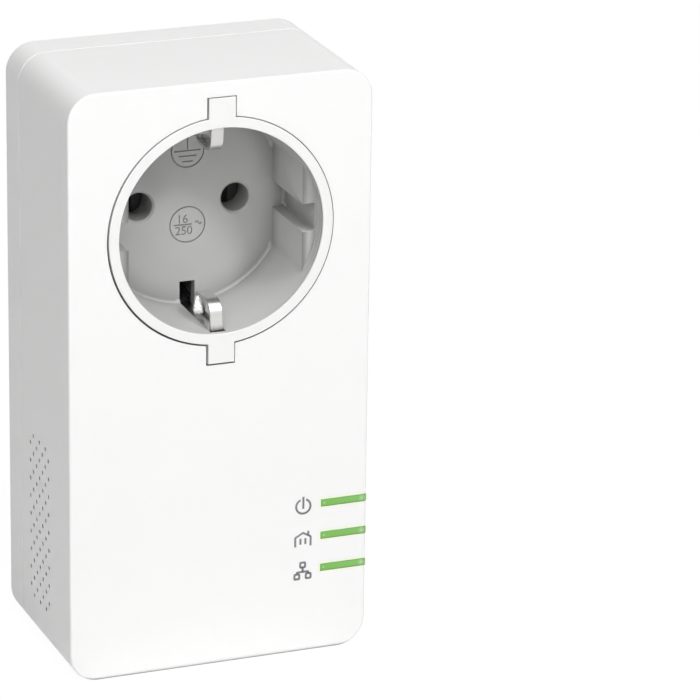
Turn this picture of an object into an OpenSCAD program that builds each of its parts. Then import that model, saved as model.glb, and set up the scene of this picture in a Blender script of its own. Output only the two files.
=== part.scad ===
// Powerline adapter: a mains socket on the front, a mains plug on the back, a network port below.
// x is the width, y the depth and z is up. The plug's pins point along +y.
// The origin is on the plug's engagement face, halfway between its pins.

/* [Case] */
// Width of the case
case_w = 58.5; // [57.5:0.5:72]
// Height of the case
case_h = 113.5; // [112:0.5:138]
// Depth of the case, without the plug and the collar's raised face
case_d = 36.3; // [35.8:0.5:45.8]
// Depth of the rear cover
rear_d = 8.1; // [7.6:0.1:9.8]
// Thickness of the case's walls
wall = 2; // [1.6:0.1:2.4]
// Radius of the case's corners, seen from the front
corner_r = 5.5; // [4.5:0.5:8]
// Distance from the top of the case down to the socket's centre
socket_drop = 28.4; // [28.4:0.1:34]
// Depth and width of the groove at the seam between the covers
seam_groove = 0.35; // [0.2:0.05:0.5]
// Reach of the rear cover's tongue into the front cover
tongue_len = 2; // [1:0.5:2]
// Thickness of the tongue
tongue_t = 1; // [0.8:0.1:1.2]

/* [Socket] */
// Radius of the recess at its mouth
recess_r = 19.7; // [19.5:0.05:19.9]
// Taper of the recess, from mouth to floor
recess_taper = 0.3; // [0:0.1:0.5]
// Depth of the recess
recess_depth = 18.5; // [17.5:0.5:22.5]
// Wall of the recess moulding
cup_wall = 1.3; // [1.1:0.1:1.5]
// Floor thickness of the recess moulding
cup_floor = 2; // [1.8:0.1:2.4]
// Length of the tunnels behind the floor that guide the pins
tunnel_len = 4; // [3:0.5:5]
// Width of the white collar, across the ring
collar_w = 1.9; // [1.6:0.1:2.2]
// Height of the collar's face above the case's front
collar_proud = 0.2; // [0:0.05:0.4]
// Thickness of the collar's edge in front of the recess's lip
collar_edge = 0.4; // [0.3:0.05:0.6]
// Wall of the recess's lip inside the collar
lip_t = 0.6; // [0.4:0.1:0.8]
// Reach of the collar's tabs from the socket's centre
tab_reach = 25.3; // [24:0.1:25.4]
// Width of the collar's tabs
tab_w = 5.06; // [4:0.02:6]
// Distance from the centre to the guide blocks' flat faces
block_x = 16.8; // [16.6:0.1:17.4]
// Drop of the guide blocks below the collar's face
block_drop = 3.05; // [2:0.05:5]
// Width of the notch that splits each guide block
notch_w = 5.2; // [4.8:0.1:6]
// Distance from the centre to the notch's back wall
notch_x = 19.3; // [19:0.1:19.3]
// Radius of the pin holes in the recess floor
pin_hole_r = 2.75; // [2.6:0.05:3]
// Width of the slots that the earth clips move in
clip_slot_w = 3; // [2.8:0.1:4]
// Distance from the centre to the start of the earth slots
clip_slot_start = 15.3; // [15:0.1:15.6]
// Width of the earth clips
clip_w = 2.4; // [2:0.1:2.6]
// Thickness of the earth strip
strap_t = 0.6; // [0.5:0.05:0.7]

/* [Plug] */
// Distance between the pins' axes
pin_pitch = 19; // [19:0.1:19.4]
// Radius of the pins
pin_r = 2.4; // [2:0.1:2.4]
// Length of the pins
pin_len = 19; // [18:0.5:19.5]
// Radius of the plug body
plug_r = 19; // [18.5:0.1:19.2]
// Reach of the plug body behind the case
plug_len = 18; // [16:0.5:21.6]
// Thickness of the plug's end wall
plug_wall = 3; // [2.5:0.5:4]
// Distance from the centre to the flats of the plug's guide grooves
guide_flat_x = 16.3; // [16.2:0.1:16.5]

/* [Shutter] */
// Thickness of the shutter plate
shutter_t = 1.6; // [1.2:0.1:1.8]
// Radius of the lobes that cover the pin holes
lobe_r = 3.4; // [3.2:0.1:3.6]
// Radius of the pivot post
pivot_r = 2; // [1.5:0.1:2]

/* [Light bars] */
// Length of the bars along the front
bar_len = 9.05; // [7:0.05:12]
// Thickness of the bars
bar_t = 1.3; // [1:0.1:2]
// Distance between the bars
bar_pitch = 6.5; // [5:0.1:8]
// Height of the lowest bar above the bottom of the case
bar_rise = 16.55; // [15.5:0.05:24]
// Reach of the bars round the side of the case
bar_wrap = 4; // [3:0.5:6]

/* [Vents] */
// Radius of the vent holes
vent_r = 0.42; // [0.3:0.02:0.6]
// Distance between the holes of one column
vent_pitch = 3.57; // [2.4:0.01:3.8]
// Distance between the columns
vent_column_pitch = 1.785; // [1.5:0.005:2]
// Number of columns
vent_columns = 7; // [3:1:8]
// Holes in the longer columns
vent_rows = 10; // [4:1:12]
// Distance from the front face to the first column
vent_front = 12.4; // [10:0.1:14]
// Height of the lowest hole above the bottom of the case
vent_rise = 9.4; // [9:0.1:14]

/* [Network port] */
// Width of the port's shield
jack_w = 15.8; // [15:0.1:16.4]
// Depth of the shield, off the board
jack_d = 13; // [12.6:0.1:13.4]
// Length of the shield
jack_len = 21; // [18:0.5:22]
// Width of the hollow for the network plug
jack_hollow_w = 11.8; // [11.7:0.05:12]

/* [Pairing button] */
// Radius of the button's face
button_r = 3; // [2.5:0.1:3.5]
// Distance of the button from the middle of the case
button_x = 15.5; // [14:0.5:16]
// Travel of the button
button_travel = 0.5; // [0.3:0.05:0.6]

/* [Boards] */
// Thickness of both circuit boards
board_t = 1.6; // [1.2:0.1:1.6]
// Distance from the front face to the main board
main_board_depth = 10.3; // [10.3:0.1:12]
// Height of the power board's standoffs
standoff_h = 3; // [3:0.1:4]
// Distance between a board's edge and the wall
board_gap = 1.1; // [0.8:0.1:1.5]

/* [Fits] */
// Gap round the collar
collar_gap = 0.25; // [0.1:0.05:0.4]
// Gap round the light bars
bar_gap = 0.08; // [0.05:0.01:0.2]
// Gap round the port's shield
port_gap = 0.25; // [0.1:0.05:0.4]
// Gap round the button, each side
button_gap = 0.15; // [0.1:0.05:0.3]
// Gap between parts that slip together
slip_gap = 0.15; // [0.1:0.01:0.2]
// Running gap between a pin or post and its hole, each side
run_gap = 0.05; // [0.02:0.01:0.08]

/* [Hidden] */
$fn = 64;
far = 200;
past = 1;
bite = 0.4;

case_white = "whitesmoke";
cup_grey = "darkgray";
metal = "silver";
brass = "goldenrod";
board_green = "seagreen";
chip_black = "dimgray";
light_green = "yellowgreen";
dark_grey = "slategray";

// Depth positions
back_y = -plug_len;
front_y = back_y - case_d;
collar_y = front_y - collar_proud;
seam_y = back_y - rear_d;
inside_front_y = front_y + wall;
inside_back_y = back_y - wall;
plug_flange_t = 2;
plug_flange_y = inside_back_y - plug_flange_t;

// Height positions
top_z = socket_drop;
bottom_z = top_z - case_h;
mid_z = (top_z + bottom_z) / 2;
inside_bottom_z = bottom_z + wall;

// Width positions
side_x = case_w / 2;
inside_x = side_x - wall;
pin_x = pin_pitch / 2;
rear_wall = wall + slip_gap + tongue_t;

// Case screws
screw_inset = 5;
screw_x = side_x - screw_inset;
screw_places = [
    [-screw_x, top_z - screw_inset],
    [screw_x, top_z - screw_inset],
    [-screw_x, bottom_z + screw_inset],
    [screw_x, bottom_z + screw_inset],
];
post_r = 3.5;
rear_boss_r = 3.75;
screw_r = 1.25;
screw_head_r = 2.6;
screw_head_t = 2;
screw_bore_depth = 3;
screw_len = 12;
screw_slot_w = 0.7;
screw_slot_l = 3.2;
screw_slot_d = 0.9;

// Socket moulding
cup_r = recess_r + cup_wall;
cup_flange_r = tab_reach + 0.1;
cup_flange_t = 1.5;
floor_y = collar_y + recess_depth;
floor_back_y = floor_y + cup_floor;
collar_r = recess_r + collar_w;
stake_r = 1.2;
stake_head = 0.8;
cup_stake_ring = 23.4;
hole_chamfer = 0.4;
floor_fillet = 0.6;

// Pin tunnels, which end early where the plug's flange leaves no room for the carrier and the leads
chamber_d = 3;
carrier_t = 2;
lead_r = 0.8;
lead_gap = 0.1;
carrier_room = 2 * (lead_r + lead_gap);
tunnel_end_y = min(floor_back_y + tunnel_len, plug_flange_y - carrier_room - carrier_t - chamber_d);
tunnel_wall = 1.4;

// Shutter and contact carrier
carrier_y = tunnel_end_y + chamber_d;
carrier_back_y = carrier_y + carrier_t;
carrier_r = 18.5;
carrier_rim_r = 16.5;
shutter_gap = 0.2;
shutter_y = tunnel_end_y + shutter_gap;
shutter_back_y = shutter_y + shutter_t;
hub_r = 4;
ramp_size = 1;
pocket_r = 4.4;
pocket_d = 1.2;
pivot_bite = 0.6;
pivot_end_y = carrier_y + pivot_bite;
pivot_shoulder_r = 3;
barrel_r = 4.5;
contact_r = 3.4;
contact_len = 11;
contact_end_t = 1;
contact_end_y = carrier_back_y + contact_len;
barrel_end_y = contact_end_y - contact_end_t;
contact_collar_r = 4.3;
contact_collar_t = 0.8;
contact_slit_w = 0.6;
contact_slit_len = 8;
contact_stem_r = 1.8;
carrier_screw_ring = 14.1;
carrier_screw_turn = 152;
carrier_screw_r = 1;
carrier_boss_r = 2.2;
carrier_head_r = 1.9;
carrier_head_t = 1.4;
carrier_screw_bite = 1.6;

// Shutter spring
spring_r = 3;
spring_wire_r = 0.22;
spring_turns = 2.5;
spring_gap = 0.1;
spring_y = shutter_back_y + spring_wire_r + spring_gap;
spring_end_y = carrier_y + pocket_d - spring_wire_r - spring_gap;
spring_leg_r = 4;

// Earth clips: a strip runs forward outside the recess, turns back over a crest and ends in a tongue.
// A depth is taken from the collar's face, and a distance from the socket's centre.
clip_root = 17;
clip_clear = 0.3;
clip_outer = recess_r + 0.8;
clip_front_depth = collar_proud + wall + clip_clear;
clip_front_r = 0.8;
clip_crest = 14.4;
clip_crest_depth = clip_front_depth + 0.6;
clip_crest_r = 2.6;
clip_rear = 14.7;
clip_rear_depth = 10.5;
clip_rear_r = 1.3;
clip_tongue = clip_outer - strap_t - clip_clear;
clip_tongue_depth = 12.3;
clip_behind_floor = 0.8;
clip_joggle_r = 1;
clip_slot_depth = 1.6;
bend_steps = 8;
strap_half_w = 3.5;
strap_back_y = carrier_back_y + strap_t;

// Plug module
plug_flange_r = 24.5;
plug_stake_ring = 21.8;
plug_hollow_r = 16.5;
plug_hollow_x = 14.2;
plug_hollow_z = 14.9;
plug_chamfer = 0.8;
guide_start_y = back_y + 1.5;
guide_rib_half = 2.3;
guide_reach = 10.9;
groove_z = 17;
groove_half_w = 3.2;
plug_strip_half_w = 2.5;
plug_strip_t = 0.9;
plug_strip_end_y = -2.5;
plug_strip_inner_z = 13.5;
pin_shank_r = 2.8;
pin_flange_r = 3.8;
pin_flange_t = 1.2;
pin_root_y = -8;

// Leads from the socket contacts to the power board
lead_drop = 11;
lead_from_contact = 2.2;

// Circuit boards
board_half_w = side_x - rear_wall - board_gap;
board_notch_r = post_r + 0.9;
main_front_y = front_y + main_board_depth;
main_back_y = main_front_y + board_t;
cup_to_board = 4;
main_top_z = -(cup_r + cup_to_board);
main_bottom_z = inside_bottom_z + board_gap;
power_back_y = inside_back_y - standoff_h;
power_front_y = power_back_y - board_t;
power_top_z = main_top_z - 1;
power_bottom_z = bottom_z + rear_wall + board_gap;
board_boss_r = 2.5;
board_screw_r = 1;
board_screw_len = 4;
board_head_r = 1.9;
board_head_t = 1.2;
board_screw_x = 20.5;
main_screw_heights = [main_top_z - 5, bottom_z + 11.6];
power_screw_heights = [power_top_z - 4, bottom_z + 17.1];
main_screw_places = [for (z = main_screw_heights, x = [-board_screw_x, board_screw_x]) [x, z]];
power_screw_places = [for (z = power_screw_heights, x = [-board_screw_x, board_screw_x]) [x, z]];

// Light bars and lamps
bar_places = [for (i = [2:-1:0]) bottom_z + bar_rise + i * bar_pitch];
bar_stem_half_w = 1.5;
lamp_x = side_x - 5;
lamp_size = [2.8, 1, 1.8];
lamp_gap = 0.3;
bar_seat = 0.3;

// Network port
jack_sink = 0.5;
jack_mouth_z = bottom_z + jack_sink;
jack_back_y = main_back_y + jack_d;
jack_sheet = 0.35;
jack_hollow_y = 2.2;
jack_hollow_d = 6.8;
jack_hollow_len = 14;
latch_w = 6.4;
latch_d = 1.6;
latch_tip_w = 3.4;
latch_tip_d = 1.2;
jack_contacts = 8;
jack_contact_pitch = 1.02;
jack_contact_w = 0.4;
jack_contact_t = 0.3;
jack_contact_len = 8;
jack_contact_tilt = 12;
jack_contact_start = 3.5;

// Pairing button and its switch
button_y = main_back_y + 5;
button_sink = 0.2;
button_face_z = bottom_z + button_sink;
button_flange_z = inside_bottom_z + button_sink;
button_flange_r = button_r + 1;
button_flange_t = 0.8;
button_stem_r = 1.5;
button_stem_len = 1.6;
plunger_z = button_flange_z + button_flange_t + button_stem_len;
plunger_r = 1.6;
plunger_len = 2.2;
plunger_stand = 1;
plunger_gap = 0.1;
switch_z = plunger_z + plunger_stand;
switch_len = 3.5;
switch_half_w = 3;
switch_d = 8;

// Basic solids, each between two positions along an axis

// A box between three pairs of positions
module box_of(x, y, z) {
    translate([x[0], y[0], z[0]]) cube([x[1] - x[0], y[1] - y[0], z[1] - z[0]]);
}

// A rod along x
module rod_x(r, x, y, z) {
    translate([x[0], y, z]) rotate([0, 90, 0]) cylinder(r = r, h = x[1] - x[0]);
}

// A rod along y
module rod_y(r, y, x = 0, z = 0) {
    translate([x, y[1], z]) rotate([90, 0, 0]) cylinder(r = r, h = y[1] - y[0]);
}

// A cone along y, with its front and back radius
module cone_y(front_r, back_r, y, x = 0, z = 0) {
    translate([x, y[1], z]) rotate([90, 0, 0]) cylinder(r1 = back_r, r2 = front_r, h = y[1] - y[0]);
}

// A rod along z
module rod_z(r, z, x = 0, y = 0) {
    translate([x, y, z[0]]) cylinder(r = r, h = z[1] - z[0]);
}

// A rectangle with round corners, about the origin
module round_rectangle(w, h, r) {
    square([w - 2 * r, h], center = true);
    square([w, h - 2 * r], center = true);
    for (x = [r - w / 2, w / 2 - r], y = [r - h / 2, h / 2 - r]) translate([x, y]) circle(r);
}

// The case's outline, made smaller by an inset, as a slab along y
module case_slab(inset, y) {
    translate([0, y[1], mid_z]) rotate([90, 0, 0]) linear_extrude(height = y[1] - y[0])
        round_rectangle(case_w - 2 * inset, case_h - 2 * inset, max(corner_r - inset, 1));
}

// A wire through a list of points, with round elbows
module wire(points, r) {
    for (i = [0:len(points) - 2]) {
        step = points[i + 1] - points[i];
        length = norm(step);
        translate(points[i]) rotate([0, acos(step.z / length), atan2(step.y, step.x)])
            cylinder(r = r, h = length);
    }
    for (i = [1:len(points) - 2]) translate(points[i]) sphere(r);
}

// Case

module vents() {
    for (side = [-1, 1], column = [0:vent_columns - 1]) {
        odd = column % 2;
        wall_x = side * (side_x - wall / 2);
        y = front_y + vent_front + column * vent_column_pitch;
        first_z = bottom_z + vent_rise + (1 - odd) * vent_pitch / 2;
        for (row = [0:vent_rows - 2 + odd])
            rod_x(vent_r, [wall_x - wall, wall_x + wall], y, first_z + row * vent_pitch);
    }
}

module light_slots() {
    half = bar_t / 2 + bar_gap;
    for (z = bar_places) {
        box_of([side_x - bar_len - bar_gap, side_x + past],
            [front_y - past, inside_front_y + past], [z - half, z + half]);
        box_of([inside_x - past, side_x + past],
            [front_y - past, front_y + bar_wrap + bar_gap], [z - half, z + half]);
    }
}

module collar_cut() {
    half = tab_w / 2 + collar_gap;
    reach = tab_reach + collar_gap;
    rod_y(collar_r + collar_gap, [front_y - past, inside_front_y + past]);
    box_of([-half, half], [front_y - past, inside_front_y + past], [-reach, reach]);
}

module port_window() {
    half = jack_w / 2 + port_gap;
    box_of([-half, half], [main_back_y - port_gap, jack_back_y + port_gap],
        [bottom_z - past, inside_bottom_z + past]);
}

module front_cover() {
    color(case_white) difference() {
        union() {
            difference() {
                case_slab(0, [front_y, seam_y]);
                case_slab(wall, [inside_front_y, seam_y + past]);
            }
            for (p = screw_places) rod_y(post_r, [inside_front_y - bite, seam_y], p.x, p.y);
            for (p = main_screw_places)
                rod_y(board_boss_r, [inside_front_y - bite, main_front_y], p.x, p.y);
            for (turn = [45:90:315])
                rod_y(stake_r, [inside_front_y - bite, inside_front_y + cup_flange_t + stake_head],
                    cup_stake_ring * cos(turn), cup_stake_ring * sin(turn));
        }
        collar_cut();
        light_slots();
        vents();
        port_window();
        rod_z(button_r + button_gap, [bottom_z - past, inside_bottom_z + past], button_x, button_y);
        for (p = screw_places)
            rod_y(screw_r + run_gap, [back_y - screw_bore_depth - screw_len - past, seam_y + past],
                p.x, p.y);
        for (p = main_screw_places)
            rod_y(board_screw_r + run_gap, [main_back_y - board_screw_len - past, main_front_y + past],
                p.x, p.y);
    }
}

module rear_cover() {
    color(case_white) difference() {
        union() {
            difference() {
                union() {
                    case_slab(seam_groove, [seam_y, seam_y + seam_groove]);
                    case_slab(0, [seam_y + seam_groove, back_y]);
                    case_slab(wall + slip_gap, [seam_y - tongue_len, seam_y + seam_groove]);
                }
                case_slab(rear_wall, [seam_y - tongue_len - past, inside_back_y]);
                for (p = screw_places)
                    rod_y(post_r + bite, [seam_y - tongue_len - past, seam_y], p.x, p.y);
            }
            for (p = screw_places)
                rod_y(rear_boss_r, [seam_y + run_gap, inside_back_y + bite], p.x, p.y);
            for (p = power_screw_places)
                rod_y(board_boss_r, [power_back_y, inside_back_y + bite], p.x, p.y);
            for (turn = [45:90:315])
                rod_y(stake_r, [plug_flange_y - stake_head, inside_back_y + bite],
                    plug_stake_ring * cos(turn), plug_stake_ring * sin(turn));
        }
        rod_y(plug_r + slip_gap, [inside_back_y - past, back_y + past]);
        for (p = screw_places) {
            rod_y(screw_r + slip_gap, [seam_y - past, back_y], p.x, p.y);
            rod_y(screw_head_r + slip_gap, [back_y - screw_bore_depth, back_y + past], p.x, p.y);
        }
        for (p = power_screw_places)
            rod_y(board_screw_r + run_gap,
                [power_back_y - past, power_front_y + board_screw_len + bite], p.x, p.y);
    }
}

module case_screws() {
    seat_y = back_y - screw_bore_depth;
    color(metal) for (p = screw_places) translate([p.x, 0, p.y]) difference() {
        union() {
            rod_y(screw_r, [seat_y - screw_len, seat_y + bite]);
            rod_y(screw_head_r, [seat_y, seat_y + screw_head_t]);
        }
        for (turn = [0, 90]) rotate([0, turn, 0])
            box_of([-screw_slot_l / 2, screw_slot_l / 2],
                [seat_y + screw_head_t - screw_slot_d, seat_y + screw_head_t + past],
                [-screw_slot_w / 2, screw_slot_w / 2]);
    }
}

// Socket

module socket_collar() {
    color(case_white) difference() {
        union() {
            rod_y(collar_r, [collar_y, inside_front_y]);
            box_of([-tab_w / 2, tab_w / 2], [collar_y, inside_front_y], [-tab_reach, tab_reach]);
        }
        rod_y(recess_r, [collar_y - past, inside_front_y + past]);
        rod_y(recess_r + lip_t + slip_gap, [collar_y + collar_edge, inside_front_y + past]);
    }
}

// The recess as a solid, from the collar to its floor
module recess() {
    cone_y(recess_r, recess_r - recess_taper, [inside_front_y, floor_y]);
    rod_y(recess_r, [collar_y, inside_front_y]);
}

module guide_blocks() {
    intersection() {
        rod_y(recess_r + cup_wall / 2, [collar_y + block_drop, floor_y + bite]);
        for (side = [0, 180]) rotate([0, side, 0]) difference() {
            box_of([block_x, far], [collar_y, floor_back_y], [-far, far]);
            box_of([block_x - past, notch_x], [collar_y, floor_y], [-notch_w / 2, notch_w / 2]);
        }
    }
}

module floor_ring() {
    translate([0, floor_y + bite, 0]) rotate([90, 0, 0]) rotate_extrude()
        polygon([
            [recess_r - recess_taper - floor_fillet, bite],
            [recess_r - recess_taper - floor_fillet, 0],
            [recess_r + cup_wall / 2, 0],
            [recess_r + cup_wall / 2, bite + floor_fillet],
            [recess_r - recess_taper, bite + floor_fillet],
        ]);
}

module carrier_screw_places() {
    for (turn = [carrier_screw_turn, carrier_screw_turn + 180])
        translate([carrier_screw_ring * cos(turn), 0, carrier_screw_ring * sin(turn)]) children();
}

module socket_cup() {
    color(cup_grey) difference() {
        union() {
            difference() {
                union() {
                    rod_y(cup_flange_r, [inside_front_y, inside_front_y + cup_flange_t]);
                    rod_y(cup_r, [inside_front_y, floor_back_y]);
                    rod_y(recess_r + lip_t, [collar_y + collar_edge + slip_gap, inside_front_y + bite]);
                }
                recess();
            }
            guide_blocks();
            floor_ring();
            rod_y(pivot_r, [floor_back_y - bite, pivot_end_y]);
            rod_y(pivot_shoulder_r, [floor_back_y - bite, tunnel_end_y]);
            for (x = [-pin_x, pin_x])
                rod_y(pin_hole_r + tunnel_wall, [floor_back_y - bite, tunnel_end_y], x);
            carrier_screw_places() rod_y(carrier_boss_r, [floor_back_y - bite, carrier_y]);
        }
        for (x = [-pin_x, pin_x]) {
            rod_y(pin_hole_r, [floor_y - past, tunnel_end_y + past], x);
            cone_y(pin_hole_r + hole_chamfer, pin_hole_r, [floor_y, floor_y + hole_chamfer], x);
            rod_y(pin_hole_r + hole_chamfer, [floor_y - past, floor_y], x);
        }
        for (side = [0, 180]) rotate([0, side, 0]) {
            box_of([-clip_slot_w / 2, clip_slot_w / 2], [floor_y - past, floor_back_y + past],
                [clip_slot_start, cup_r + past]);
            box_of([-clip_slot_w / 2, clip_slot_w / 2], [collar_y + clip_slot_depth, floor_y],
                [clip_root, clip_outer + strap_t / 2 + clip_clear]);
        }
        for (turn = [45:90:315])
            rod_y(stake_r + run_gap, [inside_front_y - past, inside_front_y + cup_flange_t + past],
                cup_stake_ring * cos(turn), cup_stake_ring * sin(turn));
        carrier_screw_places()
            rod_y(carrier_screw_r + run_gap, [floor_back_y - carrier_screw_bite, carrier_y + past]);
    }
}

module safety_shutter() {
    color(dark_grey) difference() {
        union() {
            rod_y(hub_r, [shutter_y, shutter_back_y]);
            for (x = [-pin_x, pin_x]) rod_y(lobe_r, [shutter_y, shutter_back_y], x);
            box_of([-pin_x, pin_x], [shutter_y, shutter_back_y], [-hub_r / 2, hub_r / 2]);
        }
        rod_y(pivot_r + run_gap, [shutter_y - past, shutter_back_y + past]);
        for (x = [-pin_x, pin_x]) translate([x, shutter_y, 0]) rotate([0, 0, 45])
            cube([ramp_size, ramp_size, 4 * lobe_r], center = true);
    }
}

// The spring's line: a helix about y with a straight leg at each end
spring_steps = 48;
function spring_point(i) =
    let (turn = 360 * spring_turns * i / spring_steps)
    [spring_r * cos(turn), spring_y + (spring_end_y - spring_y) * i / spring_steps, spring_r * sin(turn)];
function spring_line() = concat(
    [[spring_leg_r, spring_y, 0]],
    [for (i = [0:spring_steps]) spring_point(i)],
    [[-spring_leg_r, spring_end_y, 0]]
);

// A tube with a given number of sides along a line that winds about y
module tube_along(line, r, sides) {
    last = len(line) - 1;
    rings = [for (i = [0:last])
        let (
            ahead = line[min(i + 1, last)] - line[max(i - 1, 0)],
            out = cross(ahead, [0, 1, 0]) / norm(cross(ahead, [0, 1, 0])),
            up = cross(out, ahead) / norm(ahead)
        )
        for (k = [0:sides - 1]) line[i] + r * (cos(360 * k / sides) * out + sin(360 * k / sides) * up)];
    sheets = [for (i = [0:last - 1], k = [0:sides - 1])
        let (here = i * sides + k, beside = i * sides + (k + 1) % sides)
        [here, beside, beside + sides, here + sides]];
    start = [for (k = [sides - 1:-1:0]) k];
    end = [for (k = [0:sides - 1]) last * sides + k];
    polyhedron(points = rings, faces = concat(sheets, [start, end]), convexity = 6);
}

module shutter_spring() {
    color(metal) tube_along(spring_line(), spring_wire_r, 8);
}

module contact_carrier() {
    color(cup_grey) difference() {
        union() {
            rod_y(carrier_r, [floor_back_y, carrier_back_y]);
            for (x = [-pin_x, pin_x]) rod_y(barrel_r, [carrier_back_y - bite, barrel_end_y], x);
        }
        rod_y(carrier_rim_r, [floor_back_y - past, carrier_y]);
        rod_y(pocket_r, [carrier_y - past, carrier_y + pocket_d]);
        for (x = [-pin_x, pin_x])
            rod_y(contact_r + slip_gap, [carrier_y - past, barrel_end_y + past], x);
        for (side = [0, 180]) rotate([0, side, 0])
            box_of([-clip_slot_w / 2, clip_slot_w / 2], [floor_back_y - past, carrier_back_y + past],
                [clip_root - strap_t - bite, carrier_r + past]);
        carrier_screw_places()
            rod_y(carrier_screw_r + slip_gap, [carrier_y - past, carrier_back_y + past]);
    }
}

module carrier_screws() {
    color(metal) carrier_screw_places() {
        rod_y(carrier_screw_r, [floor_back_y - carrier_screw_bite + slip_gap, carrier_back_y + bite]);
        rod_y(carrier_head_r, [carrier_back_y, carrier_back_y + carrier_head_t]);
    }
}

module socket_contact(x) {
    mouth_y = carrier_back_y + slip_gap;
    color(brass) translate([x, 0, 0]) difference() {
        union() {
            rod_y(contact_r, [mouth_y, contact_end_y]);
            rod_y(contact_collar_r, [barrel_end_y, barrel_end_y + contact_collar_t]);
            rod_y(contact_stem_r, [contact_end_y - bite, pin_root_y]);
        }
        rod_y(pin_r + run_gap, [mouth_y - past, barrel_end_y]);
        for (turn = [0, 90]) rotate([0, turn, 0])
            box_of([-far, far], [mouth_y - past, mouth_y + contact_slit_len],
                [-contact_slit_w / 2, contact_slit_w / 2]);
    }
}

module line_contact() {
    socket_contact(-pin_x);
}

module neutral_contact() {
    socket_contact(pin_x);
}

// The middle line of an earth clip's strip, as corners with the radius of the bend at each
clip_corners = [
    [collar_y + clip_tongue_depth, clip_tongue, 0],
    [collar_y + clip_rear_depth, clip_rear, clip_rear_r],
    [collar_y + clip_crest_depth, clip_crest, clip_crest_r],
    [collar_y + clip_front_depth, clip_outer, clip_front_r],
    [floor_back_y + clip_behind_floor, clip_outer, clip_joggle_r],
    [carrier_y - clip_joggle_r, clip_root, clip_joggle_r],
    [carrier_back_y + strap_t / 2, clip_root, 0],
];
function unit(v) = v / norm(v);
function corner(i) = [clip_corners[i].x, clip_corners[i].y];
function bend(i) =
    let (
        r = clip_corners[i].z,
        back = unit(corner(i - 1) - corner(i)),
        ahead = unit(corner(i + 1) - corner(i)),
        half = acos(back * ahead) / 2,
        middle = corner(i) + unit(back + ahead) * r / sin(half),
        start = unit(corner(i) + back * r / tan(half) - middle),
        end = unit(corner(i) + ahead * r / tan(half) - middle)
    )
    [for (k = [0:bend_steps]) middle + r * unit(start * (bend_steps - k) + end * k)];
clip_line = concat(
    [corner(0)],
    [for (i = [1:len(clip_corners) - 2]) each bend(i)],
    [corner(len(clip_corners) - 1)]
);
function strip_side(line, out) =
    [for (i = [0:len(line) - 1])
        let (along = unit(line[min(i + 1, len(line) - 1)] - line[max(i - 1, 0)]))
        line[i] + out * [-along.y, along.x]];
function backwards(list) = [for (i = [len(list) - 1:-1:0]) list[i]];

module earth_clip() {
    tongue = [collar_y + clip_rear_depth, collar_y + clip_tongue_depth + strap_t];
    round_z = clip_tongue + strap_t / 2 - clip_w / 2;
    difference() {
        rotate([90, 0, 90]) translate([0, 0, -clip_w / 2]) linear_extrude(height = clip_w)
            polygon(concat(
                strip_side(clip_line, strap_t / 2),
                backwards(strip_side(clip_line, -strap_t / 2))
            ));
        difference() {
            box_of([-clip_w, clip_w], tongue, [round_z, clip_tongue + strap_t / 2]);
            rod_y(clip_w / 2, [tongue[0] - past, tongue[1] + past], 0, round_z);
        }
    }
}

module socket_earth_strap() {
    reach = clip_root + strap_t / 2;
    color(metal) {
        box_of([-clip_w / 2, clip_w / 2], [carrier_back_y, strap_back_y], [-reach, reach]);
        box_of([-strap_half_w, strap_half_w], [carrier_back_y, strap_back_y],
            [strap_t - clip_root, clip_root - strap_t]);
        for (side = [0, 180]) rotate([0, side, 0]) earth_clip();
    }
}

// Plug

module plug_body() {
    color(case_white) difference() {
        union() {
            rod_y(plug_flange_r, [plug_flange_y, inside_back_y]);
            rod_y(plug_r, [plug_flange_y, -plug_chamfer]);
            cone_y(plug_r, plug_r - plug_chamfer, [-plug_chamfer, 0]);
        }
        intersection() {
            rod_y(plug_hollow_r, [plug_flange_y - past, -plug_wall]);
            box_of([-plug_hollow_x, plug_hollow_x], [plug_flange_y - past, 0],
                [-plug_hollow_z, plug_hollow_z]);
        }
        for (side = [0, 180]) rotate([0, side, 0]) {
            for (z = [[guide_rib_half, guide_reach], [-guide_reach, -guide_rib_half]])
                box_of([guide_flat_x, far], [guide_start_y, past], z);
            box_of([-groove_half_w, groove_half_w], [guide_start_y, past], [groove_z, far]);
            box_of([-plug_strip_half_w - slip_gap, plug_strip_half_w + slip_gap],
                [guide_start_y - slip_gap, guide_start_y + plug_strip_t + slip_gap],
                [plug_hollow_z - past, groove_z + past]);
        }
        for (x = [-pin_x, pin_x]) rod_y(pin_shank_r + run_gap, [-plug_wall - past, past], x);
        for (turn = [45:90:315])
            rod_y(stake_r + run_gap, [plug_flange_y - past, inside_back_y + past],
                plug_stake_ring * cos(turn), plug_stake_ring * sin(turn));
    }
}

module plug_pin(x) {
    color(metal) translate([x, 0, 0]) {
        rod_y(pin_r, [-bite, pin_len - pin_r]);
        translate([0, pin_len - pin_r, 0]) sphere(pin_r);
        rod_y(pin_shank_r, [-plug_wall, 0]);
        rod_y(pin_flange_r, [-plug_wall - pin_flange_t, -plug_wall]);
        rod_y(contact_stem_r, [pin_root_y, -plug_wall]);
    }
}

module line_pin() {
    plug_pin(-pin_x);
}

module neutral_pin() {
    plug_pin(pin_x);
}

module plug_earth_strap() {
    outer_z = groove_z + slip_gap;
    color(metal) for (side = [0, 180]) rotate([0, side, 0]) {
        box_of([-plug_strip_half_w, plug_strip_half_w], [guide_start_y, plug_strip_end_y],
            [outer_z, outer_z + plug_strip_t]);
        box_of([-plug_strip_half_w, plug_strip_half_w], [guide_start_y, guide_start_y + plug_strip_t],
            [plug_strip_inner_z, outer_z + plug_strip_t]);
        box_of([-plug_strip_half_w, plug_strip_half_w], [strap_back_y, guide_start_y + plug_strip_t],
            [plug_strip_inner_z, plug_strip_inner_z + plug_strip_t]);
    }
}

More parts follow.
